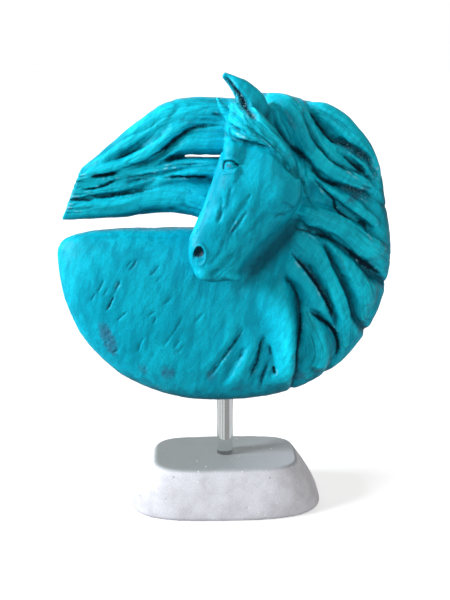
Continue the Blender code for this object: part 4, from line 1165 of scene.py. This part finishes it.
# The skin: the unevenness of worked cement, ridges that lean the way it was smoothed, crumbs broken out of
# the cuts and the torn places, and hair lines
WORKED_WAVES = [(0.5, 22), (0.3, 8), (0.08, 2.8)]
in_cut = np.clip(grooves / 9 + cuts / 4, 0, 1)
relief = np.zeros(len(points))
for seed, (height, length) in enumerate(WORKED_WAVES, 41):
    relief += height * unevenness(points, length, seed)
leaning = np.column_stack([points[:, 0] * 0.9 - points[:, 2] * 0.3, points[:, 1], points[:, 2] * 0.25])
relief += 0.14 * unevenness(leaning, 3.4, 46) * (1 - np.clip(1.5 * hair, 0, 1))
crumbs = unevenness(points, 2.4, 44) + 0.7 * unevenness(points, 1.3, 45)
crumbs *= 1 - 0.8 * np.clip(torn / 1.5, 0, 1) * (1 - 0.4 * on_head)
relief += hair * (0.5 * strands - 0.9 * partings) + 0.8 * in_cut * crumbs * (1 - 0.7 * on_head)
relief += 0.2 * torn * unevenness(points, 3.2, 47)
relief += 0.35 * rubbed * crumbs
points += inward * (blurred(clay, grooves, 2) + cuts + lids)[:, None]
points[:, 1] += nostril - standing_out - swelling
points += normals * relief[:, None]
put_points(clay, points)

# What the paint follows: how hollow each point lies, how much it stands out, the hair and the cuts, and where
# shade and highlight are painted
normals = normals_of(clay)
CLOSE_BLUR = 8
WIDE_BLUR = 50
close = np.column_stack([blurred(clay, part, CLOSE_BLUR) for part in points.T])
wide = np.column_stack([blurred(clay, part, WIDE_BLUR) for part in close.T])
hollowness = blurred(clay, ((wide - points) * normals).sum(axis=1), 4)
# Crests of the locks, swellings and what stands out get the palest coat, brushed dry: also painted highlight
ridge = np.maximum(0.8 * (1 - eased(hair_share, 0.25, 0.9)), np.clip(swelling / 8, 0, 1))
dry_brush_and_highlight = np.maximum(eased(-hollowness, 0.15, 1.1), ridge) * (0.6 + 0.7 * hair)
inked = cuts * (1 - 0.35 * on_head) - 0.65 * torn * (1 - on_head)
skin = {
    "hollow": hollowness,
    # Pale dry brushing, with painted highlight on the crests and painted light in the lit patches
    "raised": dry_brush_and_highlight * (1 - 0.3 * on_head) + painted_light,
    "torn": torn,
    "crest": ((points - close) * normals).sum(axis=1),
    "cut": inked + 0.9 * np.maximum(lids, 0) + 0.8 * nostril,
    "near_cut": np.clip(blurred(clay, cuts, 6) / 0.8, 0, 1) * (1 - 0.6 * on_head),
    # Painted shade on undersides and sides facing right, and in the valleys, over the real wash in the
    # grooves
    "underside": np.maximum(eased(-normals[:, 2], 0.3, 0.85), 0.8 * eased(normals[:, 0], 0.4, 0.9)),
    "valley_wash_and_shade": grooves**2 / 4.5 + wash_and_shade,
    "strand": hair * (0.6 * strands - 1.1 * partings),
    "hair": hair,
    "hair_across": hair_across,
    "hair_along": hair_along,
    "rubbed": rubbed,
}
for name, values in skin.items():
    kept = clay.attributes.new(name, "FLOAT", "POINT")
    kept.data.foreach_set("value", np.ascontiguousarray(values))

# Thinned to what a fine mesh may hold, set in its place, and bored for the rod
MOST_TRIANGLES = 190000
clay.transform(Matrix.Translation((0, 0, HORSE_MIDDLE)) @ Matrix.Scale(UNIT, 4))
triangles = sum(len(face.vertices) - 2 for face in clay.polygons)
if triangles > MOST_TRIANGLES:
    apply_modifier(horse, "thinned", "DECIMATE", ratio=MOST_TRIANGLES / triangles)
horse_bottom = HORSE_MIDDLE - DISC_BELOW * UNIT
bore(horse, horse_bottom - HORSE_SOCKET_DEPTH, horse_bottom + HORSE_SOCKET_DEPTH)
select_only(horse)
bpy.ops.object.shade_smooth()

# Painted cement: brushed turquoise water paint, satin rather than matt, over a lilac grey undercoat. It pools
# paler and deeper with the brush, wears thin on edges, and a wash of near black ink sits in every cut.
# Painted highlight lies on the crests and in patches of painted light, and painted shade low down, on
# undersides, on sides facing right, in the valleys, under the locks and under the jaw.
PAINT = "#00A6C0"
PAINT_PALE = "#05B6CF"
PAINT_DEEP = "#0094AE"
# Pale cyan of the dry-brushed crests, which also serves as painted highlight
PAINT_PALE_AND_HIGHLIGHT = "#12DCF2"
# Dark teal of the wash, which also paints shade
PAINT_WASH_AND_SHADE = "#004A5C"
UNDERCOAT = "#34607E"
INK = "#061F2E"
CRUMB = "#8EDDEC"
CLOUDING = 38 * MM
BRUSH = 3.4 * MM
BLOT = 6 * MM
STROKE = 6.5 * MM
CRUMB_SIZE = 1.6 * MM
HAIR_WIDTH = 1.8
HAIR_LENGTH = 22
# Heights over which the disc is painted darker towards its bottom: wash and painted shade
LOW_WASH_AND_SHADE = (HORSE_MIDDLE - 100 * UNIT, HORSE_MIDDLE - 146 * UNIT)
PAINT_GRAIN = 0.7 * MM

painted_cement, tree, shader = new_material("turquoise_patina")
place = add_node(tree, "ShaderNodeTexCoord").outputs["Object"]
above_floor = add_node(tree, "ShaderNodeSeparateXYZ", {"Vector": place}).outputs["Z"]
on_skin = {name: add_node(tree, "ShaderNodeAttribute", attribute_name=name).outputs["Fac"] for name in skin}
# Brush marks and strokes are drawn out along the way the brush went: lean in degrees, and how many times
ways = []
for lean, longer in ((32, 6), (10, 5)):
    sockets = {"Vector": place, "Rotation": (0, math.radians(lean), 0), "Scale": (1, 1, longer)}
    ways.append(add_node(tree, "ShaderNodeMapping", sockets, vector_type="TEXTURE").outputs["Vector"])
# Brushed hair: fine lines run along each lock
flow = add_node(tree, "ShaderNodeCombineXYZ")
for axis, name, size in (("X", "hair_across", HAIR_WIDTH), ("Y", "hair_along", HAIR_LENGTH)):
    lines = add_node(tree, "ShaderNodeMath", {0: on_skin[name], 1: size}, operation="DIVIDE")
    tree.links.new(lines.outputs[0], flow.inputs[axis])
patterns = []
for where, lump, detail, roughness in (
    (place, CLOUDING, 3, 0.55), (ways[0], BRUSH, 3, 0.6), (ways[1], STROKE, 3, 0.5), (place, BLOT, 3, 0.6),
    (place, CRUMB_SIZE, 2, 0.5), (place, PAINT_GRAIN, 2, 0.5), (flow.outputs["Vector"], 1, 2, 0.5),
):
    sockets = {"Vector": where, "Scale": 1 / lump, "Detail": detail, "Roughness": roughness}
    patterns.append(add_node(tree, "ShaderNodeTexNoise", sockets).outputs["Fac"])
clouding, brush, strokes, blots, crumbly, grain, hairs = patterns

off_hair = add_node(
    tree, "ShaderNodeMath", {0: on_skin["hair"], 1: -1.4, 2: 1.0}, operation="MULTIPLY_ADD", use_clamp=True
).outputs[0]
ragged = add_node(tree, "ShaderNodeMath", {0: crumbly, 1: 1.6, 2: -0.8}, operation="MULTIPLY_ADD").outputs[0]
# Darker towards the bottom of the disc: wash and painted shade
low = add_node(
    tree, "ShaderNodeMapRange",
    {"Value": above_floor, "From Min": LOW_WASH_AND_SHADE[0], "From Max": LOW_WASH_AND_SHADE[1], "To Max": 1.4},
).outputs[0]
# The thin dark wash gathers in valleys and hollows, and the ink in the cuts. The same dark colour also paints
# shade: low down, on undersides, on sides facing right, deeper in the valleys and in the shade patches.
sums = []
for total, *rest in (
    (on_skin["valley_wash_and_shade"], (on_skin["hollow"], 0.9), (on_skin["cut"], 1.0), (ragged, 1.0), (low, 1.0),
     (on_skin["underside"], 4.0)),
    (on_skin["cut"], (on_skin["hollow"], 0.35), (ragged, 1.0)),
):
    for amount, times in rest:
        sockets = {0: amount, 1: times, 2: total}
        total = add_node(tree, "ShaderNodeMath", sockets, operation="MULTIPLY_ADD").outputs[0]
    sums.append(total)
wash_and_shade_sum, ink = sums
products = []
for first, second in (
    (on_skin["rubbed"], blots), (on_skin["crest"], on_skin["near_cut"]), (brush, off_hair),
    (hairs, on_skin["hair"]),
):
    products.append(add_node(tree, "ShaderNodeMath", {0: first, 1: second}, operation="MULTIPLY").outputs[0])
rubbed_through, sharp_edge, brush_marks, hair_marks = products
# How far each thing shows: what it follows, where that begins and is full, then least, most and curve
shown = {}
for name, value, start, end, least, most, curve in (
    ("pale", clouding, 0.38, 0.64, 0, 1, "SMOOTHSTEP"),
    ("streaks", brush, 0.3, 0.7, 0.84, 1.15, "LINEAR"),
    ("dust", crumbly, 0.3, 0.7, 0.9, 1.12, "LINEAR"),
    ("deep", strokes, 0.54, 0.36, 0, 0.75, "SMOOTHSTEP"),
    ("pale_coat_and_highlight", brush, 0.32, 0.6, 0.32, 0.85, "LINEAR"),
    ("hair lines", hairs, 0.3, 0.7, 0.7, 1.22, "LINEAR"),
    ("dragged", on_skin["strand"], -0.1, -0.9, 0, 0.55, "LINEAR"),
    ("worn", rubbed_through, 0.14, 0.52, 0, 0.7, "SMOOTHSTEP"),
    ("wash_and_shade", wash_and_shade_sum, 0.8, 5.5, 0, 0.85, "LINEAR"),
    ("inked", ink, 0.55, 2.2, 0, 0.93, "SMOOTHSTEP"),
    ("edge", sharp_edge, 0.04, 0.3, 0, 1, "LINEAR"),
    ("broken", blots, 0.5, 0.6, 0, 0.65, "LINEAR"),
    ("inside", crumbly, 0.5, 0.68, 0, 0.26, "LINEAR"),
    ("dull", blots, 0.3, 0.7, 0.36, 0.52, "LINEAR"),
):
    sockets = {"Value": value, "From Min": start, "From Max": end, "To Min": least, "To Max": most}
    shown[name] = add_node(tree, "ShaderNodeMapRange", sockets, interpolation_type=curve).outputs[0]
# The pale coat, also painted highlight, goes where the skin is raised
for name, second, clamp in (
    ("pale_coat_and_highlight", on_skin["raised"], True), ("edge", shown["broken"], False), ("inside", on_skin["torn"], True),
):
    sockets = {0: shown[name], 1: second}
    product = add_node(tree, "ShaderNodeMath", sockets, operation="MULTIPLY", use_clamp=clamp)
    shown[name] = product.outputs[0]
# Crumbs: bare pale cement on the sharp little edges beside the cuts, and inside what is torn
crumbs_bare = add_node(
    tree, "ShaderNodeMath", {0: shown["edge"], 1: shown["inside"]}, operation="MAXIMUM"
).outputs[0]

# The coats, from the first to the last: how much of each lies there, its colour, and how it covers. The
# palest was brushed nearly dry over what stands out and is also painted highlight there, the undercoat shows
# where blots and patch agree, and the dark wash is partly painted shade.
colour = linear(PAINT)
for share, over, blend in (
    (shown["pale"], linear(PAINT_PALE), "MIX"),
    (off_hair, shown["streaks"], "MULTIPLY"),
    (1.0, shown["dust"], "MULTIPLY"),
    (shown["deep"], linear(PAINT_DEEP), "MIX"),
    (shown["pale_coat_and_highlight"], linear(PAINT_PALE_AND_HIGHLIGHT), "MIX"),
    (on_skin["hair"], shown["hair lines"], "MULTIPLY"),
    (shown["dragged"], linear(PAINT_WASH_AND_SHADE), "MIX"),
    (shown["worn"], linear(UNDERCOAT), "MIX"),
    (shown["wash_and_shade"], linear(PAINT_WASH_AND_SHADE), "MIX"),
    (shown["inked"], linear(INK), "MIX"),
    (crumbs_bare, linear(CRUMB), "MIX"),
):
    sockets = {MIX: share, FIRST: colour, SECOND: over}
    colour = add_node(tree, "ShaderNodeMix", sockets, data_type="RGBA", blend_type=blend).outputs[MIXED]
tree.links.new(colour, shader.inputs["Base Color"])
tree.links.new(shown["dull"], shader.inputs["Roughness"])
shader.inputs["Specular IOR Level"].default_value = 0.09
# Relief too fine for the mesh, each layer raised on the one before: what it follows, strength and depth
normal = None
for height, strength, depth in (
    (crumbly, 0.5, 0.7 * MM),
    (grain, 0.35, 0.2 * MM),
    (brush_marks, 0.5, 0.35 * MM),
    (hair_marks, 0.8, 0.8 * MM),
):
    raised = add_node(tree, "ShaderNodeBump", {"Height": height, "Strength": strength, "Distance": depth})
    if normal is not None:
        tree.links.new(normal, raised.inputs["Normal"])
    normal = raised.outputs["Normal"]
tree.links.new(normal, shader.inputs["Normal"])

horse.data.materials.clear()
horse.data.materials.append(painted_cement)
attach(horse, "root")
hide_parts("horse")

# Stage: a plain pale floor, daylight from a window at the left, weak fills from the front and from behind,
# and the camera where the photograph was taken from. The floor and the air look near white to it alone.
FLOOR_SIZE = 60
FLOOR_SEEN = "#E6E6E8"
FLOOR_BOUNCE = "#C6C6C8"
FLOOR_GLOW = 0.5
THROUGH_ROD = 0.3
bpy.ops.object.select_all(action="DESELECT")
bpy.ops.mesh.primitive_plane_add(size=FLOOR_SIZE)
floor = bpy.context.object
floor.name = "floor"
pale_floor, tree, shader = new_material("pale_floor")
shader.inputs["Roughness"].default_value = 0.9
shader.inputs["Specular IOR Level"].default_value = 0.1


def seen_by_camera(tree):
    """1 for what the camera sees itself, somewhat less for what it sees through the clear rod, else 0."""
    path = add_node(tree, "ShaderNodeLightPath")
    through = add_node(
        tree, "ShaderNodeMath", {0: path.outputs["Is Transmission Ray"], 1: THROUGH_ROD}, operation="MULTIPLY"
    )
    seen = add_node(
        tree, "ShaderNodeMath", {0: path.outputs["Is Camera Ray"], 1: through.outputs[0]}, operation="MAXIMUM"
    )
    return seen.outputs[0]


seen = seen_by_camera(tree)
glow = add_node(tree, "ShaderNodeMath", {0: seen, 1: FLOOR_GLOW}, operation="MULTIPLY")
tone = add_node(
    tree, "ShaderNodeMix", {MIX: seen, FIRST: linear(FLOOR_BOUNCE), SECOND: linear(FLOOR_SEEN)},
    data_type="RGBA",
)
tree.links.new(tone.outputs[MIXED], shader.inputs["Base Color"])
shader.inputs["Emission Color"].default_value = (1, 1, 1, 1)
tree.links.new(glow.outputs[0], shader.inputs["Emission Strength"])
floor.data.materials.append(pale_floor)

AIR_LIGHT = 0.32
AIR_SEEN = 1.0
AIR_TINT = "#FFF8F0"
world = bpy.data.worlds.new("soft_room")
world.use_nodes = True
bpy.context.scene.world = world
tree = world.node_tree
seen = seen_by_camera(tree)
bright = add_node(tree, "ShaderNodeMapRange", {"Value": seen, "To Min": AIR_LIGHT, "To Max": AIR_SEEN})
tint = add_node(
    tree, "ShaderNodeMix", {MIX: seen, FIRST: linear(AIR_TINT), SECOND: (1, 1, 1, 1)}, data_type="RGBA"
)
tree.links.new(tint.outputs[MIXED], tree.nodes["Background"].inputs["Color"])
tree.links.new(bright.outputs[0], tree.nodes["Background"].inputs["Strength"])

# Lights: strength and colour, then in degrees the angle of the soft disc, the azimuth from the front towards
# the right, and the elevation
for name, strength, colour, softness, azimuth, elevation in (
    ("window", 4.7, "#F4F9FF", 24, -77.5, 22),
    ("front_fill", 0.5, "#FFFFFF", 40, 20, 20),
    ("back_fill", 0.8, "#FFFFFF", 60, 180, 20),
):
    light = bpy.data.lights.new(name, "SUN")
    light.energy = strength
    light.color = linear(colour)[:3]
    light.angle = math.radians(softness)
    lamp = bpy.data.objects.new(name, light)
    bpy.context.scene.collection.objects.link(lamp)
    lamp.rotation_euler = (math.radians(90 - elevation), 0, math.radians(azimuth))

# Grey cards close behind the rod show in it alone, as the dark of the room does: where each begins and ends
# across, in metres, and how pale it is
CARDS = {
    "card_middle": (-0.052, 0.010, 0.3),
    "card_thin": (0.026, 0.037, 0.4),
    "card_right": (0.07, 0.086, 0.42),
}
CARD_BEHIND = 0.13
CARD_MIDDLE_HEIGHT = 0.1
CARD_HEIGHT = 0.3


def unseen(piece, *rays):
    """Hides a piece of the stage from these kinds of ray."""
    for ray in rays:
        setattr(piece, "visible_" + ray, False)


for name, (left, right, grey) in CARDS.items():
    middle = ((left + right) / 2, CARD_BEHIND, CARD_MIDDLE_HEIGHT)
    bpy.ops.mesh.primitive_plane_add(size=right - left, location=middle, rotation=(math.pi / 2, 0, 0))
    card = bpy.context.object
    card.name = name
    card.scale.y = CARD_HEIGHT / (right - left)
    card_paint, tree, shader = new_material(name)
    shader.inputs["Base Color"].default_value = (0, 0, 0, 1)
    shader.inputs["Specular IOR Level"].default_value = 0
    shader.inputs["Emission Color"].default_value = (1, 1, 1, 1)
    shader.inputs["Emission Strength"].default_value = grey
    card.data.materials.append(card_paint)
    unseen(card, "camera", "diffuse", "glossy", "shadow")

# A net to the left thins the window light over the plinth: its size, its place, and the share that it stops
NET_SIZE = 0.9
NET_PLACE = (-0.4, -0.05, -0.29)
NET_SHARE = 0.42
bpy.ops.mesh.primitive_plane_add(size=NET_SIZE, location=NET_PLACE, rotation=(0, math.pi / 2, 0))
net = bpy.context.object
net.name = "net"
net_cloth, tree, shader = new_material("net")
shader.inputs["Base Color"].default_value = (0, 0, 0, 1)
shader.inputs["Alpha"].default_value = NET_SHARE
net.data.materials.append(net_cloth)
unseen(net, "camera", "diffuse", "glossy", "transmission")

# The camera stands a little to the left and looks down: distance and height in metres, lens and sensor in mm
CAMERA_DISTANCE = 0.80
CAMERA_HEIGHT = 0.41
CAMERA_TURN = math.radians(-2.5)
CAMERA_DROP = math.radians(14.9)
CAMERA_LENS = 54
CAMERA_SENSOR = 36
camera = bpy.data.objects.new("camera", bpy.data.cameras.new("camera"))
bpy.context.scene.collection.objects.link(camera)
camera.location = (
    CAMERA_DISTANCE * math.sin(CAMERA_TURN), -CAMERA_DISTANCE * math.cos(CAMERA_TURN), CAMERA_HEIGHT,
)
camera.rotation_euler = (math.pi / 2 - CAMERA_DROP, 0, CAMERA_TURN)
camera.data.lens = CAMERA_LENS
camera.data.sensor_width = CAMERA_SENSOR
bpy.context.scene.camera = camera
bpy.context.scene.view_settings.view_transform = "Standard"
